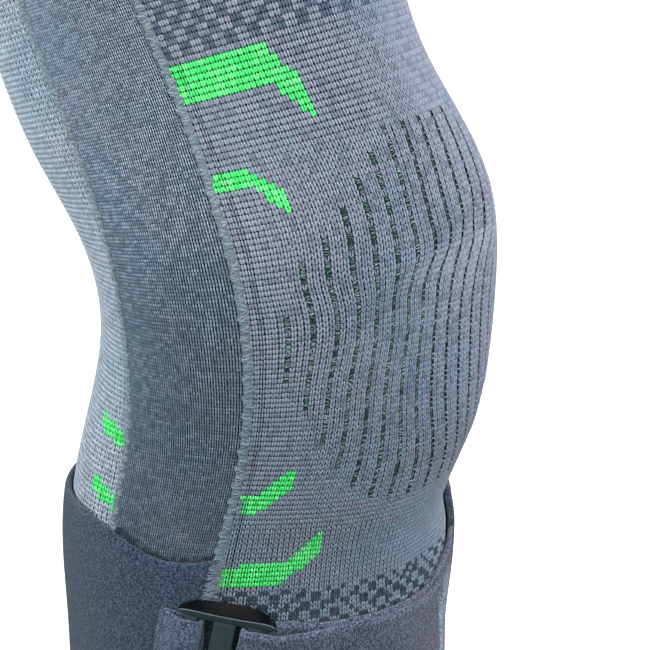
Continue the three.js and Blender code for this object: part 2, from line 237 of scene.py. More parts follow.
def capped_faces(stations, rows, turns):
    """Faces of a flat loop carried along stations. The loop has rows up one side, turns over the edge, rows
    down the other side and turns back. Strips between its two sides close both ends."""
    around = 2 * (rows + turns)
    first = np.arange(rows + turns - 1) - turns // 2
    second = 2 * rows + turns - 1 - first
    cap = np.stack([first, first + 1, second - 1, second], -1) % around
    return [ring_faces(stations, around)[:, ::-1], cap, cap[:, ::-1] + (stations - 1) * around]


def lofted(points):
    """Closed body through rings of points (stations, around, 3), its ends closed by one face each."""
    stations, around, _ = points.shape
    end = np.arange(around)[None]
    faces = [ring_faces(stations, around), end[:, ::-1], end + (stations - 1) * around]
    return points.reshape(-1, 3), faces


def joined(parts):
    """Several (points, faces) meshes as one, with their faces renumbered."""
    starts = np.cumsum([0] + [len(points) for points, _ in parts])
    points = np.concatenate([points for points, _ in parts])
    return points, [f + start for (_, faces), start in zip(parts, starts) for f in faces]


def unit(vectors):
    """Vectors scaled to length one."""
    return vectors / np.linalg.norm(vectors, axis=-1, keepdims=True)


def linear(red, green, blue):
    """Screen colour from 0 to 255 turned into the linear values that shaders use."""
    c = np.array([red, green, blue]) / 255.0
    return tuple(np.where(c <= 0.04045, c / 12.92, ((c + 0.055) / 1.055) ** 2.4))


print("one millimetre is", MM, "metres and mid grey is", round(float(linear(128, 128, 128)[0]), 3))

# %% [markdown]
# ## Yarn
# The knit is polyamide yarn with a faint marl: each stitch is a little more lavender, blue or green than
# its neighbour. An attribute gives every stitch a number from 0 to 1 and a colour ramp reads it. Slow
# noise tints whole patches, as dye lots and wear do, and fine noise stands for the fibres.

# %% Nodes of a material


def shader(name):
    """A new material with its nodes, its links and its Principled shader."""
    material = bpy.data.materials.new(name)
    material.use_nodes = True
    nodes = material.node_tree.nodes
    return material, nodes, material.node_tree.links, nodes["Principled BSDF"]


def noise(nodes, links, scale, detail=2.0, stretch=None):
    """Noise on the piece's own coordinates, in repeats per metre, stretched if asked."""
    texture = nodes.new("ShaderNodeTexNoise")
    texture.inputs["Scale"].default_value = scale
    texture.inputs["Detail"].default_value = detail
    coordinates = nodes.new("ShaderNodeTexCoord").outputs["Object"]
    if stretch is not None:
        mapping = nodes.new("ShaderNodeMapping")
        mapping.inputs["Scale"].default_value = stretch
        links.new(coordinates, mapping.inputs["Vector"])
        coordinates = mapping.outputs["Vector"]
    links.new(coordinates, texture.inputs["Vector"])
    return texture.outputs["Fac"]


def ramp(nodes, links, factor, stops):
    """A colour ramp through stops, each a place and three linear values."""
    node = nodes.new("ShaderNodeValToRGB")
    elements = node.color_ramp.elements
    for i, (place, *colour) in enumerate(stops):
        element = elements[i] if i < len(elements) else elements.new(place)
        element.position = place
        element.color = (*colour, 1.0)
    links.new(factor, node.inputs["Fac"])
    return node.outputs["Color"]


def screen(stops):
    """Ramp stops given as a place and a screen colour, turned into linear values."""
    return [(place, *linear(*colour)) for place, *colour in stops]


def mixed(nodes, links, factor, first, second, mode="MIX"):
    """Two colours mixed by a factor, any of which may be a socket or a constant."""
    node = nodes.new("ShaderNodeMix")
    node.data_type = "RGBA"
    node.blend_type = mode
    for socket, value in ((node.inputs[0], factor), (node.inputs[6], first), (node.inputs[7], second)):
        if hasattr(value, "links"):
            links.new(value, socket)
        else:
            socket.default_value = value
    return node.outputs[2]


def bump(nodes, links, shaded, height, distance, strength=1.0):
    """Bump from a height socket, the distance being the relief's full height in metres."""
    node = nodes.new("ShaderNodeBump")
    node.inputs["Distance"].default_value = distance
    node.inputs["Strength"].default_value = strength
    links.new(height, node.inputs["Height"])
    links.new(node.outputs["Normal"], shaded.inputs["Normal"])


def surface(shaded, roughness, specular, sheen=0.0, sheen_roughness=0.5):
    """The constant values of a finish, set on the shader's own sockets."""
    shaded.inputs["Roughness"].default_value = roughness
    shaded.inputs["Specular IOR Level"].default_value = specular
    shaded.inputs["Sheen Weight"].default_value = sheen
    shaded.inputs["Sheen Roughness"].default_value = sheen_roughness


print("node helpers:", [helper.__name__ for helper in (noise, ramp, mixed, bump, surface)])

# %% Yarn material
FIBRE_SCALE = 2600.0
FIBRE_DETAIL = 3.0
FIBRE_DEPTH = 0.15
FIBRE_STRENGTH = 0.7
YARN_SPECULAR = 0.25
PATCH_SCALE = 30.0
PATCH_TINTS = [(0.36, 0.84, 0.95, 1.0), (0.5, 0.96, 0.97, 1.0), (0.64, 1.0, 0.97, 1.0)]


def yarn(name, stops, roughness=0.65, sheen=0.2, patches=PATCH_TINTS, patch_scale=PATCH_SCALE):
    """Yarn whose stitches take a screen colour from stops by their own number, tinted in soft patches."""
    material, nodes, links, shaded = shader(name)
    number = nodes.new("ShaderNodeAttribute")
    number.attribute_name = "stitch"
    colour = ramp(nodes, links, number.outputs["Fac"], screen(stops))
    patch = ramp(nodes, links, noise(nodes, links, patch_scale), patches)
    links.new(mixed(nodes, links, 1.0, colour, patch, "MULTIPLY"), shaded.inputs["Base Color"])
    surface(shaded, roughness, YARN_SPECULAR, sheen)
    fibres = noise(nodes, links, FIBRE_SCALE, FIBRE_DETAIL)
    bump(nodes, links, shaded, fibres, FIBRE_DEPTH * MM, FIBRE_STRENGTH)
    return material


print("fibres:", FIBRE_SCALE, "to the metre, with a relief of", FIBRE_DEPTH, "mm")

# %% Yarns of this knit
grey_yarn = yarn("grey_marl_yarn", [
    (0.0, 114, 123, 139),
    (0.27, 138, 141, 160),
    (0.55, 146, 150, 167),
    (0.78, 135, 149, 163),
    (1.0, 148, 163, 180),
])
back_yarn = yarn("pale_grey_yarn", [(0.0, 158, 171, 184), (0.5, 178, 189, 201), (1.0, 190, 199, 211)])
SIDE_TINTS = [(0.36, 0.86, 1.02, 1.05), (0.5, 0.95, 1.02, 1.03), (0.64, 1.02, 1.0, 1.04)]
SIDE_PATCH_SCALE = 55.0
side_yarn = yarn("fine_blue_grey_yarn", [
    # The first stop is the painted shadow of the wrap on the lateral strip.
    (0.0, 50, 61, 76),
    (0.2, 92, 108, 124),
    (0.5, 118, 130, 146),
    (0.8, 156, 163, 183),
    (1.0, 161, 176, 190),
], patches=SIDE_TINTS, patch_scale=SIDE_PATCH_SCALE)
green_stops = [(0.0, 64, 240, 112), (0.5, 90, 252, 130), (1.0, 128, 255, 152)]
green_yarn = yarn("bright_green_yarn", green_stops, roughness=0.55, sheen=0.1)
# Green floats painted dark as the shade in the holes of the green Vs.
shaded_float_yarn = yarn("green_float_shade_yarn", [(0.0, 14, 84, 44), (1.0, 24, 112, 60)])
check_yarn = yarn("slate_blue_yarn", [(0.0, 69, 84, 110), (0.6, 91, 105, 128), (1.0, 107, 120, 141)])
faint_yarn = yarn("slate_grey_yarn", [(0.0, 54, 66, 84), (0.6, 69, 82, 100), (1.0, 84, 96, 113)])
rung_yarn = yarn("vent_rung_yarn", [(0.0, 40, 66, 62), (0.5, 96, 118, 120), (1.0, 164, 178, 182)])
bar_yarn = yarn("vent_bar_yarn", [(0.0, 84, 96, 108), (1.0, 132, 140, 156)])
# Painted shade: near black yarn for the stitches behind the buckle's slots.
slot_shade_paint = yarn("slot_shade_yarn", [(0.0, 4, 8, 12), (1.0, 10, 15, 20)])
glint_yarn = yarn("vent_green_yarn", [(0.0, 28, 84, 56), (0.6, 52, 140, 80), (1.0, 100, 182, 120)])
# Painted shade: the dark ground seen in the vents' holes.
shade_yarn = yarn("vent_shade_yarn", [(0.0, 10, 32, 34), (1.0, 22, 54, 54)])
print("yarns:", [m.name for m in bpy.data.materials if m.name.endswith("yarn")])

# %% [markdown]
# ## The cloth over the rims
# A knitted rim isn't a cut edge: the cloth turns over into a welt. Stitches are placed by how far they
# are up the cloth, and past the last millimetres that length goes on round a half circle, so the same
# rows of stitches roll over the edge and into the hollow. On the medial side of the shin the plush leans
# out, and the knit follows it most of the way.

# %% How the plush leans out
FLARE_DEPTH = 3.7
FLARE_ANGLES = (5.0, 35.0, 60.0, 110.0)
FLARE_HEIGHTS = (-125.0, -90.0, -88.0, -74.0)
FLARE_TUCK = 0.7
KNIT_FOLLOWS = 0.92


def flare(along, angle):
    """How far the plush leans out on the medial side of the shin, in millimetres."""
    rise = smooth(angle, *FLARE_ANGLES[:2]) * (1.0 - smooth(angle, *FLARE_ANGLES[2:]))
    tuck = 1.0 - FLARE_TUCK * smooth(along, *FLARE_HEIGHTS[2:])
    return FLARE_DEPTH * rise * tuck * smooth(along, *FLARE_HEIGHTS[:2])


print("the plush leans out by", round(float(flare(-90.0, 45.0)), 2), "mm on the medial shin")

# %% Cloth that turns over at its rims
SLEEVE_TOP = 135.0
SLEEVE_BOTTOM = -150.0
KNIT_WALL = 2.4
HEM_HEIGHT = 7.0
HEM_STEP = 1.0
HEM_PROUD = 0.6
RIM_RADIUS = (KNIT_WALL + HEM_PROUD) / 2
HIGH_ROLL = SLEEVE_TOP - RIM_RADIUS
LOW_ROLL = SLEEVE_BOTTOM + RIM_RADIUS


def hem(along):
    """Extra height of the welt near both rims, in millimetres."""
    from_rim = np.minimum(SLEEVE_TOP - along, along - SLEEVE_BOTTOM)
    return HEM_PROUD * (1.0 - smooth(from_rim, HEM_HEIGHT, HEM_HEIGHT + HEM_STEP))


def cloth_point(run, angle_of, across, lift):
    """Place on a panel: the way up the cloth and the lift off it in mm, and the place across, -1 to 1."""
    low_turn = np.clip((LOW_ROLL - run) / RIM_RADIUS, 0.0, np.pi)
    high_turn = np.clip((run - HIGH_ROLL) / RIM_RADIUS, 0.0, np.pi)
    flat = np.clip(run, LOW_ROLL, HIGH_ROLL)
    out = RIM_RADIUS + lift
    along = flat + out * (np.sin(high_turn) - np.sin(low_turn))
    proud = hem(flat) - RIM_RADIUS + out * np.cos(low_turn + high_turn)
    angle = angle_of(flat, across)
    return form_point(along, angle, proud + KNIT_FOLLOWS * flare(along, angle))


print("the rims are", 2 * RIM_RADIUS, "mm thick")

# %% [markdown]
# ## Where the wales run
# Wales, the columns of stitches, drift as the cloth stretches over the kneecap. A second table says at
# which angle three of them lie on the way up: one on the lateral side, the middle one and one on the
# medial side. The seams are the outermost, and smooth curves fill in the rest.

# %% Wales across each panel
WALE_COLUMNS = ("along", "lateral", "centre", "medial")
WALE_ANGLES = np.array([
    (-150, -31.0, 0.0, 31.0),
    (-110, -31.2, 0.0, 31.2),
    (-75, -29.2, -1.0, 28.0),
    (-55, -28.0, -1.4, 25.0),
    (-44, -26.5, -3.7, 19.3),
    (-32, -25.4, -5.9, 17.0),
    (-20, -24.0, -5.3, 17.0),
    (-8, -21.2, -3.6, 18.0),
    (0, -20.7, -0.4, 22.0),
    (4, -20.7, 2.5, 26.0),
    (12, -20.3, 2.6, 28.0),
    (36, -21.3, 3.6, 28.5),
    (60, -24.0, 3.2, 27.7),
    (90, -26.1, 3.0, 29.6),
    (135, -27.0, 2.5, 30.0),
])
WALE_PLACES = np.array([-1.0, -0.416, 0.0, 0.416, 1.0])
wale_angle = table_curves(WALE_COLUMNS, WALE_ANGLES)
wale_weights = [natural_spline(WALE_PLACES, row) for row in np.eye(len(WALE_PLACES))]


def front_angle(along, across):
    """Angle of a place on the front: the five known wales, weighted by smooth curves across the panel."""
    seam = section["front_seam"](along)
    known = (-seam, *(wale_angle[name](along) for name in WALE_COLUMNS[1:]), seam)
    return sum(angle * weight(across) for angle, weight in zip(known, wale_weights))


def side_angle(along, across):
    """Across the medial strip, from the front seam to the rear seam."""
    return blend(section["front_seam"](along), section["rear_seam"](along), (across + 1.0) / 2.0)


def lateral_angle(along, across):
    """Across the lateral strip, from the rear seam to the front seam."""
    return -side_angle(along, -across)


def back_angle(along, across):
    """Across the back, from the medial rear seam to the lateral one."""
    return 180.0 + across * (180.0 - section["rear_seam"](along))


print("front panel at the knee:", np.round(front_angle(0.0, np.array([-1.0, 0.0, 1.0])), 1), "degrees")

# %% [markdown]
# ## Panel walls
# Behind the stitches each panel has a wall: painted dark as the shade in the gaps between legs of yarn,
# where alone it is seen, and closed all round, because the sleeve is hollow and its inside shows from both
# ends. It is a profile, up the outer face, over the rim and down the inner face, carried across the panel.

# %% Wall material and wall pieces
WALL_DROP = 0.85
WALL_ROWS = 96
ROLL_STEPS = 6
WIDE_COLUMNS = 33
NARROW_COLUMNS = 11
PURL_PITCH = 3.2
PURL_DEPTH = 0.4
WAVE_TURN = 20.0


def wall_finish():
    """Dark knit seen through the stitches, its colour painted shade for the gaps between legs, with the
    rows of purl bumps that the inside of a knit shows. The wave texture turns by WAVE_TURN radians for
    every unit of its scale, so one pitch is a full turn."""
    material, nodes, links, shaded = shader("shaded_knit_ground")
    cloth = nodes.new("ShaderNodeUVMap")
    cloth.uv_map = "cloth"
    rows = nodes.new("ShaderNodeTexWave")
    rows.bands_direction = "Y"
    rows.inputs["Scale"].default_value = 2.0 * np.pi / (WAVE_TURN * PURL_PITCH * MM)
    rows.inputs["Distortion"].default_value = 1.5
    rows.inputs["Detail"].default_value = 1.0
    rows.inputs["Detail Scale"].default_value = 4.0
    links.new(cloth.outputs["UV"], rows.inputs["Vector"])
    colour = ramp(nodes, links, rows.outputs["Fac"], screen([(0.1, 26, 34, 46), (0.9, 54, 64, 80)]))
    links.new(colour, shaded.inputs["Base Color"])
    surface(shaded, roughness=0.9, specular=0.1)
    bump(nodes, links, shaded, rows.outputs["Fac"], PURL_DEPTH * MM)
    return material


shaded_knit_ground = wall_finish()


def panel_wall(name, node, angle_of, columns):
    """Closed wall: outer rows up, half a circle over the top rim, inner rows down, half a circle back."""
    rows = np.linspace(LOW_ROLL, HIGH_ROLL, WALL_ROWS)
    turn = np.linspace(0.0, np.pi, ROLL_STEPS + 2)[1:-1]
    outer = hem(rows) - WALL_DROP
    half = (outer[0] + KNIT_WALL) / 2
    over, below = HIGH_ROLL + half * np.sin(turn), LOW_ROLL - half * np.sin(turn)
    along = np.concatenate([rows, over, rows[::-1], below])
    roll = half * np.cos(turn) + half - KNIT_WALL
    proud = np.concatenate([outer, roll, np.full(WALL_ROWS, -KNIT_WALL), roll[::-1]])
    across = np.linspace(-1.0, 1.0, columns)
    flat = np.clip(along, SLEEVE_BOTTOM, SLEEVE_TOP)
    angle = angle_of(flat[None, :], across[:, None])
    points = form_point(along[None, :], angle, proud[None, :] + KNIT_FOLLOWS * flare(along[None, :], angle))
    faces = capped_faces(columns, WALL_ROWS, ROLL_STEPS)
    arc = np.radians(angle) * radius_at(flat[None, :], angle)
    uv = np.stack([arc, np.broadcast_to(along[None, :], arc.shape)], -1) * MM
    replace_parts(make_piece(name, points, faces, shaded_knit_ground, uv=uv), node)


WALLS = {
    "front_panel": (front_angle, WIDE_COLUMNS, "front_knit"),
    "back_panel": (back_angle, WIDE_COLUMNS, "back_knit"),
    "lateral_panel": (lateral_angle, NARROW_COLUMNS, "side_knit"),
    "medial_panel": (side_angle, NARROW_COLUMNS, "side_knit"),
}
for node, (angle_of, columns, slot) in WALLS.items():
    panel_wall(f"{node}_wall", node, angle_of, columns)

# %% [markdown]
# ## Stitches
# A knit stitch shows as a V: two legs of yarn that come out of the loop below, close together, and
# spread as they rise. Each leg here is a short three-sided tube, its ends tucked under its neighbours,
# and smooth shading makes it look round. Its points are given in cell units, so many wales across and
# so many courses up, so the Vs follow the cloth wherever it stretches.

# %% Strokes of yarn
EDGE_DROP = 0.4


def tube_faces(rings):
    """Faces of a three-sided tube: point 0 is its foot, point 1 its top, and then come rings of three."""
    ring = 2 + 3 * np.arange(rings)[:, None] + np.arange(3)
    follow = np.roll(ring, -1, axis=1)
    foot = np.stack([np.zeros(3, int), ring[0], follow[0]], -1)
    top = np.stack([np.ones(3, int), follow[-1], ring[-1]], -1)
    body = np.stack([ring[:-1], ring[1:], follow[1:], follow[:-1]], -1).reshape(-1, 4)
    return np.concatenate([foot, top]), body


def strokes(path, out, wide, high):
    """Closed three-sided tubes along paths (n, k, 3): pointed ends and, between, rings ridged outwards."""
    side = unit(np.cross(path[:, -1] - path[:, 0], out))
    up = out * high
    found = [path[:, 0], path[:, -1]]
    for ring, half in enumerate(wide, start=1):
        middle = path[:, ring]
        found += [middle + side * half - up * EDGE_DROP, middle + up, middle - side * half - up * EDGE_DROP]
    points = np.stack(found, axis=1)
    start = np.arange(len(points))[:, None, None] * points.shape[1]
    faces = [(start + f[None]).reshape(-1, f.shape[1]) for f in tube_faces(len(wide))]
    return points.reshape(-1, 3), faces


print("a leg of two rings has", 6 + 2 * len(tube_faces(2)[1]), "triangles")

# %% Legs of a V
# The columns of each leg, from its foot to its top, are the place across in wales, the place up in courses,
# the half width in wales and the lift in millimetres.
FRONT_LEG = np.array([
    (0.10, -0.74, 0.0, -0.18),
    (0.22, -0.26, 0.262, 0.04),
    (0.26, 0.24, 0.262, 0.02),
    (0.24, 0.68, 0.0, -0.28),
])
CALM_LEG = np.array([
    (0.02, -0.84, 0.0, -0.14),
    (0.19, -0.36, 0.235, 0.05),
    (0.30, 0.36, 0.225, -0.02),
    (0.35, 0.76, 0.0, -0.30),
])
SHIN_LEG = np.array([
    (0.14, -0.86, 0.0, -0.14),
    (0.23, -0.42, 0.235, 0.05),
    (0.32, 0.20, 0.18, 0.03),
    (0.36, 0.70, 0.0, -0.24),
])
BACK_LEG = np.array([
    (0.06, -0.92, 0.0, -0.12),
    (0.25, 0.0, 0.25, 0.0),
    (0.44, 0.98, 0.0, -0.18),
])
RIB_LEG = np.array([
    (0.235, -0.82, 0.0, -0.18),
    (0.245, -0.30, 0.165, 0.03),
    (0.255, 0.32, 0.165, 0.0),
    (0.265, 0.78, 0.0, -0.26),
])
PLAIN_RIB_LEG = np.array([
    (0.23, -0.95, 0.0, -0.12),
    (0.25, 0.0, 0.19, 0.0),
    (0.27, 0.95, 0.0, -0.16),
])
LEG_HEIGHT = 0.3
LEG_JITTER = 0.025


def cells(angle_of, grid):
    """Centre, step to the next wale, step to the next course and outward direction of every stitch cell."""
    run, across, tall, step = (grid[n] for n in ("run", "across", "tall", "step"))
    centre = cloth_point(run, angle_of, across, 0.0)
    right = cloth_point(run, angle_of, across + step / 2, 0.0)
    left = cloth_point(run, angle_of, across - step / 2, 0.0)
    upper = cloth_point(run + tall / 2, angle_of, across, 0.0)
    lower = cloth_point(run - tall / 2, angle_of, across, 0.0)
    return centre, right - left, upper - lower, unit(np.cross(right - left, upper - lower))


def legs(cell, leg, sink, slim):
    """Both legs of each stitch: feet near the middle of the cell, tops spread, ends below the cloth."""
    centre, step_wale, step_course, out = (v[:, None] for v in cell)
    width = np.linalg.norm(cell[1], axis=-1, keepdims=True) * slim[:, None]
    base = centre - out * (LEG_HEIGHT + sink[:, None, None]) * MM
    across, up, wide, lift = np.moveaxis(np.broadcast_to(leg, (len(centre), *leg.shape[-2:])), -1, 0)
    made = []
    for hand in (-1.0, 1.0):
        wobble = rng.normal(0.0, LEG_JITTER, across.shape)
        path = base + step_wale * (hand * across + wobble)[..., None] + step_course * up[..., None]
        path = path + out * lift[..., None] * MM
        halves = [width * half[:, None] for half in wide.T[1:-1]]
        made.append(strokes(path, cell[3], halves, LEG_HEIGHT * MM * slim[:, None]))
    return joined(made)


print("legs stand", LEG_HEIGHT, "mm high")

# %% [markdown]
# ## The front panel's chart
# The front is knitted from a chart, as a sweater is: plain grey, four green marks by the lateral seam,
# bands of two-stitch checks above and below, and dashed columns of open ladders over the kneecap. Each
# stitch is wholly one thing or another, so the marks get their stepped edges by themselves. The stitches
# behind the buckle's slots are painted near black as shade, because hardly any light reaches them.

# %% Courses and wales of the front
FRONT_WALES = 77
COURSE_PLACES = np.array([-150, -96, -84, -50, -30, -12, 10, 30, 55, 80, 135])
COURSE_HEIGHTS = np.array([1.45, 1.4, 1.62, 1.68, 1.42, 1.34, 1.46, 1.57, 1.85, 1.9, 1.9])
RIM_OVERRUN = 1.6
RUN_POINTS = 6001


def course_edges(height_at):
    """Edges of the courses: their number is the sum of length over height, read back at whole numbers."""
    run = np.linspace(SLEEVE_BOTTOM - RIM_OVERRUN, SLEEVE_TOP + RIM_OVERRUN, RUN_POINTS)
    count = np.concatenate([[0.0], np.cumsum(np.diff(run) / height_at((run[1:] + run[:-1]) / 2))])
    return np.interp(np.arange(int(count[-1]) + 1), count, run)


def chart(wales, edges):
    """Way up the cloth, place across it, course height, wale step and both counts for every stitch."""
    counts = np.meshgrid(np.arange(len(edges) - 1), np.arange(wales), indexing="ij")
    course, wale = (count.ravel() for count in counts)
    return {
        "run": ((edges[1:] + edges[:-1]) / 2)[course],
        "across": -1.0 + 2.0 * (wale + 0.5) / wales,
        "tall": np.diff(edges)[course],
        "step": np.full(len(wale), 2.0 / wales),
        "course": course,
        "wale": wale,
    }


def pick(grid, chosen):
    """Only the chosen stitches of a chart."""
    return {name: values[chosen] for name, values in grid.items()}


front_edges = course_edges(lambda run: np.interp(run, COURSE_PLACES, COURSE_HEIGHTS))
front = chart(FRONT_WALES, front_edges)
front_turn = front_angle(front["run"], front["across"])
print("front:", FRONT_WALES, "wales by", len(front_edges) - 1, "courses")

# %% Green marks and checks
# Corners of each green mark on the lateral side: angle back from the front and way up the sleeve.
# Corners at 90 degrees lie beyond the seam, so those marks run into it.
GREEN_MARKS = {
    "upper_long": [(90, 54.4), (90, 67.0), (34.1, 66.6), (25.2, 53.6), (25.2, 43.2), (33.8, 55.0)],
    "upper_short": [(90, 30.1), (90, 36.2), (47.0, 36.2), (37.6, 27.4), (37.0, 21.2), (45.4, 30.1)],
    "lower_short": [
        (61.8, -60.6), (60.4, -53.6), (55.5, -54.1), (44.5, -45.1), (45.2, -52.1), (56.5, -60.6),
    ],
    "lower_long": [(90, -87.1), (90, -79.1), (48.5, -77.8), (33.9, -66.8), (36.3, -75.6), (48.8, -85.1)],
}
CHECK_ABOVE = 68.3
CHECK_BELOW = -86.5
CHECK_BLUR = 0.12


def inside(x, y, corners):
    """Even-odd test: a point is inside if a level line from it crosses the outline an odd number of times.
    The corners are joined in turn, and the last to the first."""
    found = np.zeros(x.shape, bool)
    for (x0, y0), (x1, y1) in zip(corners, corners[1:] + corners[:1]):
        if y0 != y1:
            found ^= ((y0 > y) != (y1 > y)) & (x < (x1 - x0) * (y - y0) / (y1 - y0) + x0)
    return found


def in_marks(x, y, marks):
    """Which points lie inside any of the marks."""
    return np.any([inside(x, y, corners) for corners in marks.values()], axis=0)


green = in_marks(-front_turn, front["run"], GREEN_MARKS)
banded = ((front["run"] > CHECK_ABOVE) | (front["run"] < CHECK_BELOW)) & ~green
check = banded & ((front["wale"] // 2 + front["course"] // 2) % 2 == 0)
blurred = (front["run"] < CHECK_BELOW) & (rng.random(len(check)) < CHECK_BLUR)
check ^= banded & blurred
print("stitches:", {"green": int(green.sum()), "check": int(check.sum())})

# %% Vents
# Highest and lowest place of each vent column, counted outwards from the middle one.
VENT_TOPS = np.array([38, 38, 38, 33, 27.5, 22, 15.5, 11, 0])
VENT_BOTTOMS = np.array([-60, -59.5, -59, -57.5, -52, -45.5, -38, -30, -20])
VENT_SPACING = 4
VENT_PERIOD = 4
VENT_CROSSING_AT = 22.0

offset = front["wale"] - FRONT_WALES // 2
nearest = np.abs(np.round(offset / VENT_SPACING)).astype(int)
reachable = nearest < len(VENT_TOPS)
column = np.minimum(nearest, len(VENT_TOPS) - 1)
vented = reachable & (front["run"] < VENT_TOPS[column]) & (front["run"] > VENT_BOTTOMS[column])
beside = (offset + VENT_SPACING // 2) % VENT_SPACING - VENT_SPACING // 2
crossing_course = np.searchsorted(front_edges, VENT_CROSSING_AT) - 1
phase = (front["course"] - crossing_course) % VENT_PERIOD
vent = vented & (beside == 0) & (phase > 0)
bridge = vented & (beside == 0) & (phase == 0)
print("vent cells:", int(vent.sum()), "crossings:", int(bridge.sum()))

# %% Widths and depths of the front stitches
GROOVE_WALE = 2
GROOVE_SLIM = 0.7
BRIDGE_SLIM = 0.8
BRIDGE_SINK = 0.25
RIB_LIFT = 0.12
CLOSING = 0.07
CLOSED_BELOW = (12.0, 0.0)
CLOSED_BEYOND = (-16.0, -8.0)
CHECK_SINK = 0.14
CHECK_SLIM = 0.94
PUFF_SLIM = 1.08
closed = np.maximum(1.0 - smooth(front["run"], *CLOSED_BELOW[::-1]), smooth(front_turn, *CLOSED_BEYOND))
edge_wale = np.minimum(front["wale"], FRONT_WALES - 1 - front["wale"])
slim = np.where(edge_wale == GROOVE_WALE, GROOVE_SLIM, 1.0)
slim = np.where(bridge, BRIDGE_SLIM, np.where(check, CHECK_SLIM, np.where(banded, PUFF_SLIM, slim)))
sink = np.where(bridge, BRIDGE_SINK * (1.0 + closed), np.where(check, CHECK_SINK, 0.0))
middle = np.abs(beside) == VENT_SPACING // 2
sink = sink - np.where(vented & middle, RIB_LIFT * closed, 0.0)
shift = np.where(vented & ~middle, -np.sign(beside) * CLOSING * closed, 0.0)
front["across"] = front["across"] + shift * front["step"]
print("slimmest stitch:", slim.min(), "deepest:", sink.max(), "mm")

# %% Front stitches
CALM_FROM = (-66.0, -56.0)
CALM_TO = (36.0, 42.0)
CALM_BESIDE = (-50.0, -34.0)
CALM_RIGHT = (-16.0, 2.0)
SHIN_FROM = (-70.0, -58.0)
VENT_CALM = 0.8
SHIN_SHARE = 0.9
GREEN_SHIN_SHARE = 0.35
PALER_SHIN = (-72.0, -36.0)
PALER_TONE = 0.24
SLOT_SHADE_BELOW = -93.5
WRAP_BOTTOM = -142.0
SLOT_SHADE = (-76.0, -57.0)
THIGH_FROM = 42.0
SHIN_TO = -46.0


def stitched(name, angle_of, grid, chosen, material, slot, leg, sink=0.0, slim=1.0, tone=0.0, spread=1.0):
    """One piece with the legs of the chosen stitches. A colour number is a tone plus a random share."""
    part = pick(grid, chosen)
    sink, slim, tone = (np.broadcast_to(v, chosen.shape)[chosen] for v in (sink, slim, tone))
    leg = leg[chosen] if leg.ndim == 3 else leg
    points, faces = legs(cells(angle_of, part), leg, sink, slim)
    number = np.clip(tone + spread * rng.random(len(sink)), 0.0, 1.0)
    number = np.repeat(np.tile(number, 2), len(points) // (2 * len(sink)))
    return make_piece(name, points, faces, material, layers={"stitch": number})


# Painted shade: the stitches behind the buckle's slots get near black yarn.
behind_slots = (front["run"] < SLOT_SHADE_BELOW) & (front["run"] > WRAP_BOTTOM)
behind_slots &= (front_turn > SLOT_SHADE[0]) & (front_turn < SLOT_SHADE[1])
plain = ~(green | check | vent | behind_slots)
check &= ~behind_slots
# Legs lie calmer between the vents and on the medial half, and spread further on the shin.
in_vents = smooth(front["run"], *CALM_FROM) * (1.0 - smooth(front["run"], *CALM_TO))
in_vents = in_vents * smooth(front_turn, *CALM_BESIDE)
on_shin = 1.0 - smooth(front["run"], *SHIN_FROM)
calm = np.maximum(VENT_CALM * in_vents, smooth(front_turn, *CALM_RIGHT))
leg = blend(FRONT_LEG, CALM_LEG, calm[:, None, None])
shin_share = np.where(green, GREEN_SHIN_SHARE, SHIN_SHARE) * on_shin
leg = blend(leg, SHIN_LEG, shin_share[:, None, None])
look = {"leg": leg, "sink": sink, "slim": slim}
paler = {"tone": PALER_TONE * (1.0 - smooth(front["run"], *PALER_SHIN)), "spread": 1.0 - PALER_TONE}
on_thigh = front["run"] > THIGH_FROM
below_knee = front["run"] < SHIN_TO
ZONES = {"thigh": on_thigh, "knee": ~(on_thigh | below_knee), "shin": below_knee}
for zone, where in ZONES.items():
    kind = {**look, **paler}
    stitched(f"front_{zone}_stitches", front_angle, front, plain & where, grey_yarn, "front_knit", **kind)
COLOURED = {
    "front_green_stitches": (green, green_yarn),
    "front_upper_checks": (check & on_thigh, check_yarn),
    "front_lower_checks": (check & below_knee, faint_yarn),
    "front_slot_shade_stitches": (behind_slots, slot_shade_paint),
}
for name, (chosen, material) in COLOURED.items():
    stitched(name, front_angle, front, chosen, material, "front_knit", **look)

# %% [markdown]
# ## Floats and ladders
# Behind the green marks the green yarn lies as floats, painted dark as the shade in the holes of the Vs,
# where they show. In a vent the machine drops a wale, and what is left is a ladder of thin cross strands
# over a ground painted dark as the shade in the hole, with a glint of green yarn here and there. They are
# the same strokes, wide and sunk or laid across.

# %% Floats and vent ladders
FLOAT = {"reach": 0.62, "wide": 0.52, "high": 0.25, "sink": 0.85}
RUNG = {"half": 0.5, "rise": 0.18, "radius": 0.2, "sink": 0.22, "shifts": (-0.38, -0.05, 0.3)}
GLINT = {"half": 0.42, "rise": 0.25, "radius": 0.17, "sink": 0.22, "shifts": (-0.05,)}
BAR = {"half": 0.55, "rise": 0.05, "radius": 0.26, "sink": 0.12, "shifts": (-0.5,)}
RUNG_JITTER = 0.1
GLINT_BEFORE = -8.0
GLINT_SHARE = 0.42
RUNG_SHARE = 0.8
STROKE_SHARES = np.array([-1.0, -0.45, 0.45, 1.0])[:, None]


def numbered(name, made, count, material):
    """A piece of strokes, each with a number of its own for its colour."""
    points, faces = made
    number = np.repeat(rng.random(count), len(points) // count)
    return make_piece(name, points, faces, material, layers={"stitch": number})


def floats(name, grid, chosen, material):
    """One wide flat stroke up the middle of each chosen cell, just above the wall."""
    centre, step_wale, step_course, out = cells(front_angle, pick(grid, chosen))
    middle = centre - out * FLOAT["sink"] * MM
    path = middle[:, None] + step_course[:, None] * FLOAT["reach"] * STROKE_SHARES
    wide = np.linalg.norm(step_wale, axis=-1, keepdims=True) * FLOAT["wide"]
    made = strokes(path, out, [wide, wide], FLOAT["high"] * MM)
    return numbered(name, made, len(centre), material)


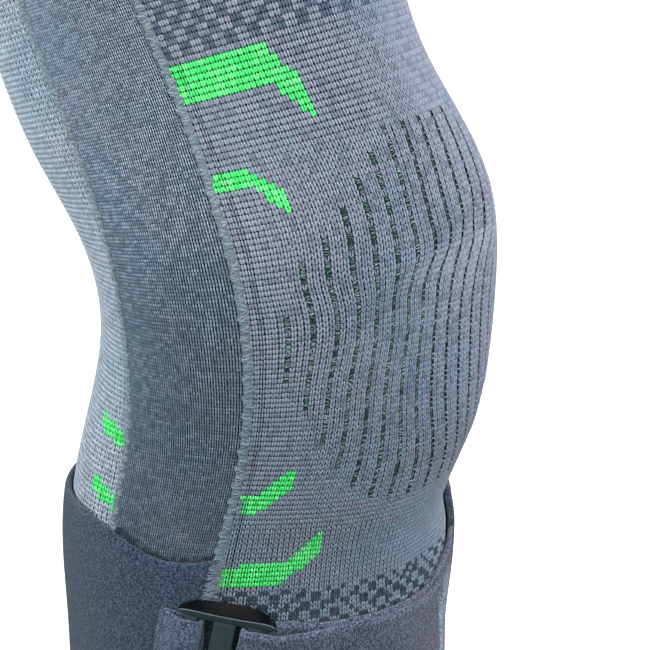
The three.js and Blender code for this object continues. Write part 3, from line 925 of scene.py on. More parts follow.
def rungs(name, grid, chosen, material, rung):
    """Thin strands across each chosen cell, a few in every course, each with its own slant."""
    centre, step_wale, step_course, out = cells(front_angle, pick(grid, chosen))
    made = []
    for shift in rung["shifts"]:
        up = shift + rng.normal(0.0, RUNG_JITTER, (len(centre), 1))
        middle = centre - out * rung["sink"] * MM + step_course * up
        rise = rng.normal(0.0, rung["rise"], (len(centre), 1))
        half = step_wale * rung["half"] + step_course * rise
        path = middle[:, None] + half[:, None] * STROKE_SHARES
        made.append(strokes(path, out, [rung["radius"] * MM] * 2, rung["radius"] * MM))
    return numbered(name, joined(made), len(centre) * len(rung["shifts"]), material)


# Floats and the vent ground are painted dark as the shade in the holes.
floats("front_green_floats", front, green, shaded_float_yarn)
floats("front_vent_shade_ground", front, vent, shade_yarn)
left_of_middle = vent & (front_turn < GLINT_BEFORE)
rungs("front_vent_rungs", front, left_of_middle & (rng.random(len(vent)) < RUNG_SHARE), rung_yarn, RUNG)
rungs("front_vent_glints", front, left_of_middle & (rng.random(len(vent)) < GLINT_SHARE), glint_yarn, GLINT)
rungs("front_vent_bars", front, vent & ~left_of_middle, bar_yarn, BAR)

# %% [markdown]
# ## Back and side panels
# The back is knitted like the front in a paler yarn, with two green marks by the lateral seam. The side
# strips are a finer knit whose legs stand steep and apart, so that each leg shows as a narrow rib. Both
# strips are painted paler towards the top as light, and the lateral one has the wrap's shadow painted just
# above the wrap.

# %% Back stitches
BACK_WALES = 80
BACK_COURSE = 1.72
BACK_MIDDLE = -8.0
BACK_MARKS = {
    "upper": [(96, -46.9), (96, -42.3), (112, -36.4), (113, -41.4)],
    "lower": [(99.5, -66.3), (99.5, -62.0), (112, -56.0), (112, -61.5)],
}
back = chart(BACK_WALES, course_edges(lambda run: np.full_like(run, BACK_COURSE)))
from_front = 360.0 - back_angle(back["run"], back["across"])
green = in_marks(from_front, back["run"], BACK_MARKS)
for zone, where in {"upper": back["run"] > BACK_MIDDLE, "lower": back["run"] <= BACK_MIDDLE}.items():
    stitched(f"back_{zone}_stitches", back_angle, back, ~green & where, back_yarn, "back_knit", BACK_LEG)
stitched("back_green_stitches", back_angle, back, green, green_yarn, "back_knit", BACK_LEG)

# %% Side stitches
SIDE_WALES = 26
SIDE_COURSE = 1.06
SIDE_SINK = 0.12
SIDE_TONE = 0.2
SIDE_PAINTED_LIGHT = 0.35
SIDE_LIGHT_RISE = (-10.0, 75.0)
SIDE_SPREAD = 0.45
SHADE_HEIGHT = 1.9
WRAP_TOP_FRONT = -75.5
WRAP_TOP_BACK = -68.0
WRAP_DIP = 1.6
WRAP_DIP_ANGLE = 9.0
WRAP_RISE_ANGLES = (12.0, 42.0)


def wrap_top(from_end):
    """Height of the wrap's upper edge by the angle from its nearer end: a small dip, then a rise behind."""
    low = WRAP_TOP_FRONT - WRAP_DIP * smooth(from_end, 0.0, WRAP_DIP_ANGLE)
    return blend(low, WRAP_TOP_BACK, smooth(from_end, *WRAP_RISE_ANGLES))


side = chart(SIDE_WALES, course_edges(lambda run: np.full_like(run, SIDE_COURSE)))
everywhere = np.ones(len(side["run"]), bool)
from_seam = -section["front_seam"](side["run"]) - lateral_angle(side["run"], side["across"])
shade_from = wrap_top(np.abs(from_seam))
# Painted light: both side strips turn paler towards the top, where more light falls.
side_tone = SIDE_TONE + SIDE_PAINTED_LIGHT * smooth(side["run"], *SIDE_LIGHT_RISE)
# Painted shadow: the lateral strip turns dark in a thin band just above the wrap's top edge.
below_wrap = side["run"] < WRAP_BOTTOM + SHADE_HEIGHT
lit = np.maximum(smooth(side["run"] - shade_from, 0.0, SHADE_HEIGHT), below_wrap)
shaded_tone = blend(-SIDE_SPREAD / 2, side_tone, lit)
look = {"sink": SIDE_SINK, "spread": SIDE_SPREAD}
STRIPS = {
    "lateral_stitches": (lateral_angle, RIB_LEG, shaded_tone),
    "medial_stitches": (side_angle, PLAIN_RIB_LEG, side_tone),
}
for name, (angle_of, leg, tone) in STRIPS.items():
    stitched(name, angle_of, side, everywhere, side_yarn, "side_knit", leg, tone=tone, **look)

# %% [markdown]
# ## Overlocked seams
# Where two panels meet, an overlock machine winds soft thread round both edges. It lies as a chain of
# plump lobes, so each seam is a cord whose thickness swells and shrinks, and over every lobe go a few
# arched strands that lean from side to side. The front seams stand proud and the rear ones are flatter.

# %% Seams
LOBE_PITCH = 2.75
LOBE_ROWS = 8
LOBE_SIDES = 10
LOBE_WAIST = 0.62
LOBE_POWER = 0.8
LOBE_SWAY = 0.3
WINDING_STRANDS = 4
WINDING_POINTS = 6
WINDING_LEAN = 0.55
WINDING_JITTER = 0.34
WINDING_RADIUS = 0.38
WINDING_SWING = 0.12
WINDING_SPAN = (0.14, 0.86)
WINDING_MARGIN = 2.0
# The cord's low number paints shade between the strands that wind over it.
CORD_SHADE_NUMBER = 0.15
RIM_MARGIN = 0.6
FRONT_SEAM_SIZE = {"half": 1.65, "high": 0.95, "lift": -0.15}
REAR_SEAM_SIZE = {"half": 1.2, "high": 0.6, "lift": -0.15}

# The first stop is painted shade, for the seam behind the buckle's slots.
seam_stops = [(0.0, 4, 8, 12), (0.15, 98, 110, 120), (0.5, 118, 130, 140), (1.0, 136, 147, 156)]
seam_yarn = yarn("overlock_thread_yarn", seam_stops, roughness=0.85, sheen=0.3)


def lobe_size(along):
    """Thickness of the seam as a share of its widest: a row of rounded lobes with waists between."""
    return blend(LOBE_WAIST, 1.0, np.abs(np.sin(np.pi * along / LOBE_PITCH)) ** LOBE_POWER)


def on_seam(along, seam_angle, x, lift):
    """Place beside a seam, x millimetres round the sleeve from its line."""
    along = np.clip(along, SLEEVE_BOTTOM + RIM_MARGIN, SLEEVE_TOP - RIM_MARGIN)
    sway = LOBE_SWAY * np.sin(np.pi * along / LOBE_PITCH)
    angle = seam_angle(along)
    lift = lift + hem(along) + KNIT_FOLLOWS * flare(along, angle)
    return form_point(along, angle + np.degrees((x + sway) / radius_at(along, angle)), lift)


def seam_cord(seam_angle, size):
    """The cord: an oval section that swells at every lobe, with closed ends."""
    rows = int((SLEEVE_TOP - SLEEVE_BOTTOM) / LOBE_PITCH * LOBE_ROWS)
    along = np.linspace(SLEEVE_BOTTOM + RIM_MARGIN, SLEEVE_TOP - RIM_MARGIN, rows)[:, None]
    turn = np.linspace(0.0, -2.0 * np.pi, LOBE_SIDES, endpoint=False)[None]
    swell = lobe_size(along)
    x = size["half"] * swell * np.cos(turn)
    points = on_seam(along, seam_angle, x, size["lift"] + size["high"] * swell * np.sin(turn))
    return lofted(points)


def seam_winding(seam_angle, size):
    """Arched strands over the lobes, each leaning the other way from its neighbour."""
    step = LOBE_PITCH / WINDING_STRANDS
    start = np.arange(SLEEVE_BOTTOM + WINDING_MARGIN, SLEEVE_TOP - WINDING_MARGIN, step)
    start = start + rng.normal(0.0, WINDING_JITTER, len(start))
    lean = np.where(np.arange(len(start)) % 2 == 0, WINDING_LEAN, -WINDING_LEAN)[:, None]
    lean = lean + rng.normal(0.0, WINDING_JITTER, lean.shape)
    swing = rng.normal(0.0, WINDING_SWING, (len(start), 1))
    turn = (np.linspace(*WINDING_SPAN, WINDING_POINTS) + swing) * np.pi
    along = start[:, None] + lean * np.cos(turn)
    swell = lobe_size(along)
    x = size["half"] * swell * np.cos(turn)
    path = on_seam(along, seam_angle, x, size["lift"] + size["high"] * swell * np.sin(turn))
    half = np.full((len(start), 1), WINDING_RADIUS * MM)
    out = outward(start, seam_angle(start))
    return strokes(path, out, [half] * (WINDING_POINTS - 2), WINDING_RADIUS * MM), len(start)


print("lobes on a seam:", round((SLEEVE_TOP - SLEEVE_BOTTOM) / LOBE_PITCH))

# %% Seam pieces


def in_slot_shade(name, points):
    """Which points of a seam lie behind the buckle's slots, where it is painted near black as shade."""
    height = points[:, 2] / MM
    return (name == "lateral_front_seam") & (height < SLOT_SHADE_BELOW) & (height > WRAP_BOTTOM)


SEAMS = {
    "lateral_front_seam": ("front_seam", -1.0, FRONT_SEAM_SIZE),
    "lateral_rear_seam": ("rear_seam", -1.0, REAR_SEAM_SIZE),
    "medial_front_seam": ("front_seam", 1.0, FRONT_SEAM_SIZE),
    "medial_rear_seam": ("rear_seam", 1.0, REAR_SEAM_SIZE),
}
for name, (curve, hand, size) in SEAMS.items():
    line = lambda along, curve=curve, hand=hand: hand * section[curve](along)
    points, faces = seam_cord(line, size)
    # Painted shade: the seam turns near black behind the buckle's slots.
    tone = np.where(in_slot_shade(name, points), 0.0, CORD_SHADE_NUMBER)
    make_piece(f"{name}_cord", points, faces, seam_yarn, layers={"stitch": tone})
    (points, faces), count = seam_winding(line, size)
    tone = np.repeat(rng.uniform(2.0 * CORD_SHADE_NUMBER, 1.0, count), len(points) // count)
    tone = np.where(in_slot_shade(name, points), 0.0, tone)
    make_piece(f"{name}_thread", points, faces, seam_yarn, layers={"stitch": tone})

# %% [markdown]
# ## Plush
# The strap and the wrap are brushed loop cloth, dark blue-grey with a violet cast. From this distance
# the pile is a fine speckle with light tips, so noise at two scales drives both the colour and the bump,
# and sheen lightens the cloth where it turns away. A highlight is painted along the strap's upper edge,
# the wrap is painted paler near its medial end as light on its shaded inner face, and the strap is paler
# near both ends, partly as painted rim light.

# %% Plush material
PILE_SCALE = 1500.0
TUFT_SCALE = 3600.0
PILE_DETAIL = 3.0
TUFT_SHARE = 0.45
PILE_DEPTH = 0.8
PILE_PLACES = (0.41, 0.5, 0.59)
# Painted highlight along the strap's upper edge.
RIM_HIGHLIGHT_TINT = (1.6, 1.48, 1.48, 1.0)


def share_of(nodes, links, value, edges):
    """0 at the first edge and 1 at the second, both in millimetres of cloth."""
    share = nodes.new("ShaderNodeMapRange")
    share.inputs["From Min"].default_value = edges[0] * MM
    share.inputs["From Max"].default_value = edges[1] * MM
    links.new(value, share.inputs["Value"])
    return share.outputs["Result"]


def tinted(nodes, links, colour, tint, share):
    """The colour times a tint, by a share."""
    return mixed(nodes, links, share, colour, mixed(nodes, links, 1.0, colour, tint, "MULTIPLY"))


def combined(nodes, links, operation, first, second):
    """Two shares put together by a mathematical operation."""
    node = nodes.new("ShaderNodeMath")
    node.operation = operation
    links.new(first, node.inputs[0])
    links.new(second, node.inputs[1])
    return node.outputs["Value"]


def plush(name, colours, stretch=(1.0, 1.0, 1.0), rim=None, ends=None):
    """Pile as two layers of noise. rim is the height on the cloth where a highlight is painted along its
    upper edge, and ends the lengths and heights where it turns paler near its ends as painted light (on the
    strap only in part), all read from the cloth's UV map."""
    material, nodes, links, shaded = shader(name)
    pile = noise(nodes, links, PILE_SCALE, PILE_DETAIL, stretch=stretch)
    tuft = noise(nodes, links, TUFT_SCALE, stretch=stretch)
    both = mixed(nodes, links, TUFT_SHARE, pile, tuft)
    colour = ramp(nodes, links, both, screen((at, *tone) for at, tone in zip(PILE_PLACES, colours)))
    cloth = nodes.new("ShaderNodeUVMap")
    cloth.uv_map = "cloth"
    place = nodes.new("ShaderNodeSeparateXYZ")
    links.new(cloth.outputs["UV"], place.inputs["Vector"])
    if rim is not None:
        colour = tinted(nodes, links, colour, RIM_HIGHLIGHT_TINT, share_of(nodes, links, place.outputs["Y"], rim))
    if ends is not None:
        share, *others = (share_of(nodes, links, place.outputs["X"], edges) for edges in ends["lengths"])
        for other in others:
            share = combined(nodes, links, "MAXIMUM", share, other)
        if "below" in ends:
            below = share_of(nodes, links, place.outputs["Y"], ends["below"])
            share = combined(nodes, links, "MULTIPLY", share, below)
        colour = tinted(nodes, links, colour, ends["tint"], share)
    links.new(colour, shaded.inputs["Base Color"])
    surface(shaded, roughness=0.95, specular=0.1, sheen=0.25, sheen_roughness=0.45)
    bump(nodes, links, shaded, both, PILE_DEPTH * MM)
    return material


# Painted light: the wrap turns paler near its medial end, whose inner face lies in shade.
WRAP_END_PAINTED_LIGHT = {"lengths": [(70.0, 40.0)], "tint": (1.9, 1.5, 1.3, 1.0)}
wrap_plush = plush("wrap_plush", [(23, 35, 52), (47, 62, 83), (89, 102, 126)], ends=WRAP_END_PAINTED_LIGHT)
tab_plush = plush("tab_plush", [(39, 48, 70), (72, 82, 107), (122, 131, 158)])
print("plush:", wrap_plush.name, tab_plush.name)

# %% Sheets with rounded edges
EDGE_STEPS = 4


def edge_loop(rows, wall):
    """Section of a sheet, all round: share of its width, reach past its edges, offset from its middle."""
    share = np.linspace(0.0, 1.0, rows)
    turn = np.linspace(0.0, np.pi, EDGE_STEPS + 2)[1:-1]
    zero = np.zeros(rows)
    shares = np.concatenate([share, np.ones(EDGE_STEPS), share[::-1], np.zeros(EDGE_STEPS)])
    past = np.concatenate([zero, np.sin(turn), zero, -np.sin(turn)]) * wall / 2
    offset = np.concatenate([zero + 1.0, np.cos(turn), zero - 1.0, -np.cos(turn)]) * wall / 2
    return shares, past, offset


def sheet_piece(node, place, stations, rows, wall, material, uv_of):
    """A closed sheet: the rounded section carried along the stations of place(shares, past, offset)."""
    shares, past, offset = edge_loop(rows, wall)
    points = place(shares[None], past[None], offset[None])
    faces = capped_faces(stations, rows, EDGE_STEPS)
    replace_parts(make_piece(f"{node}_plush", points, faces, material, uv=uv_of(shares)), node)


print("a sheet of two rows has", len(edge_loop(2, 1.0)[0]), "points round its section")

# %% [markdown]
# ## Calf wrap
# A wide band of plush is sewn on at the lateral front seam and goes round the back of the calf, where it
# rises a little, to the medial side of the shin. There it leans out. It lies a hair off the
# knit, as thick as the real one, with soft rounded edges and loose threads along its sewn end.

# %% Calf wrap
LAYER_GAP = 0.4
WRAP_WALL = 2.2
WRAP_MEDIAL_EDGE = 41.0
WRAP_STATIONS = 130
WRAP_ROWS = 28
WRAP_LENGTH = 260.0


def wrap_end(along):
    """Angle of the wrap's sewn end, on the lateral front seam."""
    return 360.0 - section["front_seam"](along)


def wrap_place(shares, past, offset):
    """Angle runs from the medial edge round the back to the sewn end, and the top rises behind."""
    end = wrap_end(blend(WRAP_BOTTOM, WRAP_TOP_FRONT, shares))
    angle = blend(WRAP_MEDIAL_EDGE, end, np.linspace(0.0, 1.0, WRAP_STATIONS)[:, None])
    from_end = np.minimum(angle - WRAP_MEDIAL_EDGE, end - angle)
    along = blend(WRAP_BOTTOM + WRAP_WALL / 2, wrap_top(from_end) - WRAP_WALL / 2, shares) + past
    return form_point(along, angle, LAYER_GAP + WRAP_WALL / 2 + offset + flare(along, angle))


def wrap_uv(shares):
    """Length round the calf and height on the wrap, in metres."""
    length = np.linspace(0.0, WRAP_LENGTH, WRAP_STATIONS)[:, None]
    height = (WRAP_TOP_FRONT - WRAP_BOTTOM) * shares[None]
    return np.stack(np.broadcast_arrays(length, height), -1) * MM


sheet_piece("calf_wrap", wrap_place, WRAP_STATIONS, WRAP_ROWS, WRAP_WALL, wrap_plush, wrap_uv)

# %% Loose threads along the wrap's sewn end
THREAD_COUNT = 200
THREAD_TO = -91.0
THREAD_BELOW_TOP = 0.8
THREAD_HALF = (0.5, 1.5)
THREAD_SLOPE = 0.45
THREAD_LIFTS = (0.25, 1.1)
THREAD_FALL = (-0.5, 1.6)
THREAD_REACH = (-0.8, 2.2)
THREAD_RADIUS = 0.14
THREAD_SHARES = np.linspace(-1.0, 1.0, 5)

thread_stops = [(0.0, 74, 84, 102), (0.5, 112, 121, 137), (1.0, 158, 165, 177)]
thread_yarn = yarn("sewn_end_yarn", thread_stops, roughness=0.8, sheen=0.4)
start = rng.uniform(THREAD_TO, WRAP_TOP_FRONT - THREAD_BELOW_TOP, THREAD_COUNT)[:, None]
half = rng.uniform(*THREAD_HALF, (THREAD_COUNT, 1))
slope = rng.normal(0.0, THREAD_SLOPE, (THREAD_COUNT, 1))
reach = rng.uniform(*THREAD_REACH, (THREAD_COUNT, 1)) + half * THREAD_SHARES
along = start + half * slope * THREAD_SHARES
lift = LAYER_GAP + blend(WRAP_WALL + THREAD_LIFTS[0], THREAD_LIFTS[1], smooth(reach, *THREAD_FALL))
path = form_point(along, wrap_end(along) + np.degrees(reach / radius_at(along, wrap_end(along))), lift)
thin = np.full((THREAD_COUNT, 1), THREAD_RADIUS * MM)
out = outward(start[:, 0], wrap_end(start[:, 0]))
threads = strokes(path, out, [thin] * (len(THREAD_SHARES) - 2), THREAD_RADIUS * MM)
numbered("wrap_end_threads", threads, THREAD_COUNT, thread_yarn)

# %% [markdown]
# ## Slider buckle
# A moulded slider with three upright bars and two slots, black and satin. It is tilted on the calf, so it
# has its own flat coordinates: across, height and proud. Each bar is a four-cornered section with rounded
# corners, carried along the bar. The long bars bow outwards, have rounded ends and a sloping skirt behind.

# %% Coordinates of the buckle
BUCKLE_ANGLE = -64.9
BUCKLE_ALONG = -94.9
BUCKLE_TILT = np.radians(12.0)
MM_PER_DEGREE = 1.08
SLOT_HEIGHT = 48.2
BAR_HEIGHT = 2.8
BAR_SKIRT = 3.9
END_SKIRT = 0.6
END_SHARE = 0.25
END_POWER = 6
END_LIFT = 1.2
HALF_LENGTH = 15.0
REAR_BAR = (-12.8, -9.2)
CENTRE_BAR = (-4.3, 2.6)
FRONT_BAR = (6.3, 11.0)
PLATE_BACK = 4.6
PLATE_FACE = 7.4
BAR_FACE = 6.2
BAR_STATIONS = 41
UPRIGHT_STATIONS = 25
UPRIGHT_OVERLAP = 1.0
END_FROM = 0.9
MOULD_ROUNDING = 0.5
ROUNDING_LIMIT = 0.45
ARC_POINTS = 5
# Painted light in the buckle's 'face' numbers: 0 is shade on back and skirt, then the lit face and a
# highlight on its top edge.
LIT_FACE_TONE = 0.5
EDGE_HIGHLIGHT_TONES = [0.5, 0.55, 0.95, 0.1, 0.0]


def buckle_point(across, height, proud):
    """Place in the buckle's tilted coordinates."""
    arc = across * np.cos(BUCKLE_TILT) + height * np.sin(BUCKLE_TILT)
    along = BUCKLE_ALONG + height * np.cos(BUCKLE_TILT) - across * np.sin(BUCKLE_TILT)
    return form_point(along, BUCKLE_ANGLE + arc / MM_PER_DEGREE, proud)


print("slots are", SLOT_HEIGHT, "mm high, and the buckle is", 2 * HALF_LENGTH, "mm across")

# %% Bars of the buckle


def rounded(corners):
    """Polygon sections (n, k, 2) whose corners become small arcs, from one edge into the next."""
    before = np.roll(corners, 1, axis=1) - corners
    after = np.roll(corners, -1, axis=1) - corners
    lengths = [np.linalg.norm(edge, axis=-1, keepdims=True) for edge in (before, after)]
    starts, ends = (
        (corners + edge * np.minimum(MOULD_ROUNDING / length, ROUNDING_LIMIT))[:, :, None]
        for edge, length in zip((before, after), lengths)
    )
    u = np.linspace(0.0, 1.0, ARC_POINTS)[:, None]
    arcs = (1 - u) ** 2 * starts + 2 * u * (1 - u) * corners[:, :, None] + u**2 * ends
    return arcs.reshape(len(corners), -1, 2)


def long_bar(up):
    """Upper (up 1) or lower (up -1) bar: section in height and proud, carried across the buckle."""
    across = HALF_LENGTH * np.sin(np.linspace(-np.pi / 2, np.pi / 2, BAR_STATIONS))
    bow = np.sqrt(1.0 - (across / HALF_LENGTH) ** 2)
    rounding = np.maximum(END_SHARE, np.sqrt(1.0 - (across / HALF_LENGTH) ** END_POWER))
    low = END_LIFT * (1.0 - rounding)
    high = low + BAR_HEIGHT * rounding
    face = blend(BAR_FACE, PLATE_FACE, bow)
    same = np.ones(BAR_STATIONS)
    heights = np.stack([low, low, high, high + BAR_SKIRT * bow], -1)
    prouds = np.stack([PLATE_BACK * same, BAR_FACE * same, face, PLATE_BACK * same], -1)
    loop = rounded(np.stack([heights, prouds], -1))
    base = 0.0 if up > 0 else -SLOT_HEIGHT
    backward = 1.0 - smooth(loop[..., 1], PLATE_BACK, BAR_FACE)
    ends = END_SKIRT * np.sign(across) * smooth(np.abs(across), END_FROM * HALF_LENGTH, HALF_LENGTH)
    across = across[:, None] + ends[:, None] * backward
    points = buckle_point(across, base + up * loop[..., 0], loop[..., 1])
    return lofted(points[:, ::-1] if up > 0 else points)


def upright_bar(span):
    """One bar between the long ones: section in across and proud, carried up the buckle."""
    near, far = span
    corners = np.array([(near, PLATE_BACK), (far, PLATE_BACK), (far, BAR_FACE), (near, BAR_FACE)])
    height = np.linspace(-SLOT_HEIGHT - UPRIGHT_OVERLAP, UPRIGHT_OVERLAP, UPRIGHT_STATIONS)
    loop = rounded(np.repeat(corners[None], len(height), axis=0))
    return lofted(buckle_point(loop[..., 0], height[:, None], loop[..., 1])[:, ::-1])


print("a long bar has", len(long_bar(1.0)[0]), "points and an upright", len(upright_bar(REAR_BAR)[0]))

# %% Plastic
GRAIN_SCALE = 3500.0
GRAIN_DEPTH = 0.05
GRAIN_STRENGTH = 0.5
WEAR_SCALE = 220.0
WEAR_DETAIL = 4.0
PLASTIC_SPECULAR = 0.05
# Near black shade for the top and skirt, lit grey for the front face, a pale painted highlight for its
# edge.
PAINTED_LIGHT_STOPS = [(0.0, 4, 7, 10), (0.3, 7, 11, 14), (0.5, 58, 66, 68), (1.0, 150, 156, 152)]
MARK_STOPS = [(0.3, 0.82, 0.83, 0.84), (0.75, 1.0, 1.0, 1.0)]
GLOSS_STOPS = [(0.3, 0.3, 0.3, 0.3), (0.7, 0.42, 0.42, 0.42)]


def plastic_finish():
    """Satin black plastic: fine spark-eroded grain and faint handling marks in the gloss, with light
    painted by the 'face' number: near black shade on top and skirt, a lit grey front face and a pale
    highlight along its edge.
    """
    material, nodes, links, shaded = shader("satin_black_plastic")
    grain = noise(nodes, links, GRAIN_SCALE)
    wear = noise(nodes, links, WEAR_SCALE, WEAR_DETAIL)
    face = nodes.new("ShaderNodeAttribute")
    face.attribute_name = "face"
    base = ramp(nodes, links, face.outputs["Fac"], screen(PAINTED_LIGHT_STOPS))
    marks = ramp(nodes, links, wear, MARK_STOPS)
    links.new(mixed(nodes, links, 1.0, base, marks, "MULTIPLY"), shaded.inputs["Base Color"])
    links.new(ramp(nodes, links, wear, GLOSS_STOPS), shaded.inputs["Roughness"])
    shaded.inputs["Specular IOR Level"].default_value = PLASTIC_SPECULAR
    bump(nodes, links, shaded, grain, GRAIN_DEPTH * MM, GRAIN_STRENGTH)
    return material


satin_plastic = plastic_finish()
print("plastic:", satin_plastic.name)

# %% Buckle piece
uprights = [upright_bar(span) for span in (REAR_BAR, CENTRE_BAR, FRONT_BAR)]
points, faces = joined([long_bar(1.0), long_bar(-1.0), *uprights])
# Painted light: each long bar's section is shaded near black behind and on its skirt, lit grey on its face,
# with a highlight along the face's top edge.
dark = np.zeros(ARC_POINTS)
painted_light_tones = np.concatenate([dark, dark + LIT_FACE_TONE, EDGE_HIGHLIGHT_TONES, dark])
both_tones = (painted_light_tones[::-1], painted_light_tones)
long_tones = np.concatenate([np.tile(tones, BAR_STATIONS) for tones in both_tones])
painted_light_layer = {"face": np.concatenate([long_tones, np.full(len(points) - len(long_tones), LIT_FACE_TONE)])}
buckle = make_piece("buckle_slider", points, faces, satin_plastic, layers=painted_light_layer)
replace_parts(buckle, "buckle")

# %% [markdown]
# ## Tab and strap
# A short tab holds the buckle to the wrap. The strap carries on from the wrap's medial end across the
# shin, goes under the front bar, turns back over it and lies on itself, with its free end on the shin.
# Both are strips: a path in the plane of across and proud, with the rounded sheet section standing on it.

# %% Buckle tab
TAB_WALL = 1.2
TAB_REAR = -21.0
TAB_LAP = -18.4
TAB_TOP = -0.7
TAB_BOTTOM = -45.5
TAB_LAP_PROUD = 5.4
TAB_ROWS = 20
TAB_LAP_STEPS = 8
TAB_RUN_STEPS = 6
FOLD_CLEARANCE = 0.4
FOLD_STEPS = 8


def fold_path(bar_edge, side, wall):
    """Quarter turns round both edges of a bar's section, from below it to above it."""
    reach = FOLD_CLEARANCE + wall / 2
    turn = np.linspace(0.0, np.pi / 2, FOLD_STEPS)
    lower = np.stack([bar_edge + side * reach * np.sin(turn), PLATE_BACK - reach * np.cos(turn)], -1)
    upper = np.stack([bar_edge + side * reach * np.cos(turn), BAR_FACE + reach * np.sin(turn)], -1)
    return np.concatenate([lower, upper])


def path_normals(path):
    """Directions square to the path, a quarter turn to the left of its way."""
    way = unit(np.gradient(path, axis=0))
    return np.stack([-way[:, 1], way[:, 0]], -1)


def path_uv(path, width):
    """UV of a strip: length along its path and height across it, in metres."""
    length = np.concatenate([[0.0], np.cumsum(np.linalg.norm(np.diff(path, axis=0), axis=1))])
    return lambda shares: np.stack(np.broadcast_arrays(length[:, None], width * shares[None]), -1) * MM


under = PLATE_BACK - FOLD_CLEARANCE - TAB_WALL / 2
over = BAR_FACE + FOLD_CLEARANCE + TAB_WALL / 2
share = np.linspace(0.0, 1.0, TAB_LAP_STEPS)
lap_proud = blend(over, TAB_LAP_PROUD, smooth(share, 0.0, 1.0))
lap = np.stack([blend(REAR_BAR[0], TAB_LAP, share), lap_proud], -1)
run_across = np.linspace(TAB_REAR, REAR_BAR[0], TAB_RUN_STEPS)
lower_run = np.stack([run_across, np.full(TAB_RUN_STEPS, under)], -1)
tab_path = np.concatenate([lower_run, fold_path(REAR_BAR[1], 1.0, TAB_WALL), lap])
tab_normals = path_normals(tab_path)


def tab_place(shares, past, offset):
    """The tab's section stands up the buckle's height."""
    height = blend(TAB_BOTTOM + TAB_WALL / 2, TAB_TOP - TAB_WALL / 2, shares) + past
    across = tab_path[:, :1] + tab_normals[:, :1] * offset
    proud = tab_path[:, 1:] + tab_normals[:, 1:] * offset
    return buckle_point(across, height, proud)


tab_uv = path_uv(tab_path, TAB_TOP - TAB_BOTTOM)
sheet_piece("buckle_tab", tab_place, len(tab_path), TAB_ROWS, TAB_WALL, tab_plush, tab_uv)

# %% Path of the strap
STRAP_WALL = 1.6
STRAP_HEIGHT = 44.0
STRAP_INNER_TOP = -98.3
STRAP_MEDIAL_TOP = -88.5
STRAP_RISE_ANGLES = (8.0, 40.0)
STRAP_OUTER_TOP = -98.9
STRAP_FOLD_TOP = -96.5
STRAP_TUCK_TOP = -96.0
STRAP_BOTTOM = -142.0
STRAP_INNER_END = 40.4
STRAP_OUTER_END = 18.0
STRAP_TUCK_ACROSS = 15.0
STRAP_SETTLE_ACROSS = 22.0
STRAP_EVEN_ACROSS = 31.0
STRAP_MERGE_ACROSS = 44.0
STRAP_ROWS = 24
STRAP_INNER_STEPS = 90
STRAP_OUTER_STEPS = 80
STRAP_STRETCH = (1.3, 1.3, 0.9)
# Height where the strap's painted highlight runs along its upper edge.
STRAP_HIGHLIGHT_RIM = (STRAP_HEIGHT - 1.3, STRAP_HEIGHT - 0.5)

inner_end = (STRAP_INNER_END - BUCKLE_ANGLE) * MM_PER_DEGREE
outer_end = (STRAP_OUTER_END - BUCKLE_ANGLE) * MM_PER_DEGREE
inner_proud = LAYER_GAP + STRAP_WALL / 2
outer_proud = inner_proud + LAYER_GAP + STRAP_WALL
strap_under = PLATE_BACK - FOLD_CLEARANCE - STRAP_WALL / 2
strap_over = BAR_FACE + FOLD_CLEARANCE + STRAP_WALL / 2

across = np.linspace(inner_end, FRONT_BAR[1], STRAP_INNER_STEPS)
settled = smooth(across, FRONT_BAR[1], STRAP_SETTLE_ACROSS)
inner = np.stack([across, blend(strap_under, inner_proud, settled)], -1)
across = np.linspace(FRONT_BAR[1], outer_end, STRAP_OUTER_STEPS)
merged = smooth(across, FRONT_BAR[1], STRAP_MERGE_ACROSS)
outer = np.stack([across, blend(strap_over, outer_proud, merged)], -1)
strap_path = np.concatenate([inner, fold_path(FRONT_BAR[0], -1.0, STRAP_WALL), outer])
strap_normals = path_normals(strap_path)
rise = smooth(BUCKLE_ANGLE + strap_path[:, 0] / MM_PER_DEGREE, *STRAP_RISE_ANGLES)
is_inner = np.arange(len(strap_path)) < len(inner)
inner_top = blend(STRAP_INNER_TOP, STRAP_MEDIAL_TOP, rise)
tucked = blend(STRAP_TUCK_TOP, inner_top, smooth(strap_path[:, 0], FRONT_BAR[1], STRAP_EVEN_ACROSS))
far_top = np.where(is_inner, tucked, inner_top + STRAP_OUTER_TOP - STRAP_INNER_TOP)
fold_top = STRAP_FOLD_TOP - (strap_path[:, 0] - FRONT_BAR[0]) * np.tan(BUCKLE_TILT)
settle_at = np.where(is_inner, STRAP_TUCK_ACROSS, STRAP_SETTLE_ACROSS)
strap_tops = blend(fold_top, far_top, smooth(strap_path[:, 0], FRONT_BAR[1], settle_at))
strap_near = 1.0 - smooth(strap_path[:, 0], FRONT_BAR[1], STRAP_MERGE_ACROSS)


strap_length = np.linalg.norm(np.diff(strap_path, axis=0), axis=1).sum()
print("strap path:", round(float(strap_length)), "mm in the buckle's flat coordinates")

# %% Front strap


def strap_place(shares, past, offset):
    """Beside the buckle the strap leans with it, and further on it stands upright."""
    along = blend(STRAP_BOTTOM + STRAP_WALL / 2, strap_tops[:, None] - STRAP_WALL / 2, shares) + past
    across = strap_path[:, :1] + strap_normals[:, :1] * offset
    proud = strap_path[:, 1:] + strap_normals[:, 1:] * offset
    near = strap_near[:, None]
    lean = near * (along - BUCKLE_ALONG) * np.tan(BUCKLE_TILT)
    arc = blend(across, across / np.cos(BUCKLE_TILT), near) + lean
    angle = BUCKLE_ANGLE + arc / MM_PER_DEGREE
    return form_point(along, angle, proud + flare(along, angle))


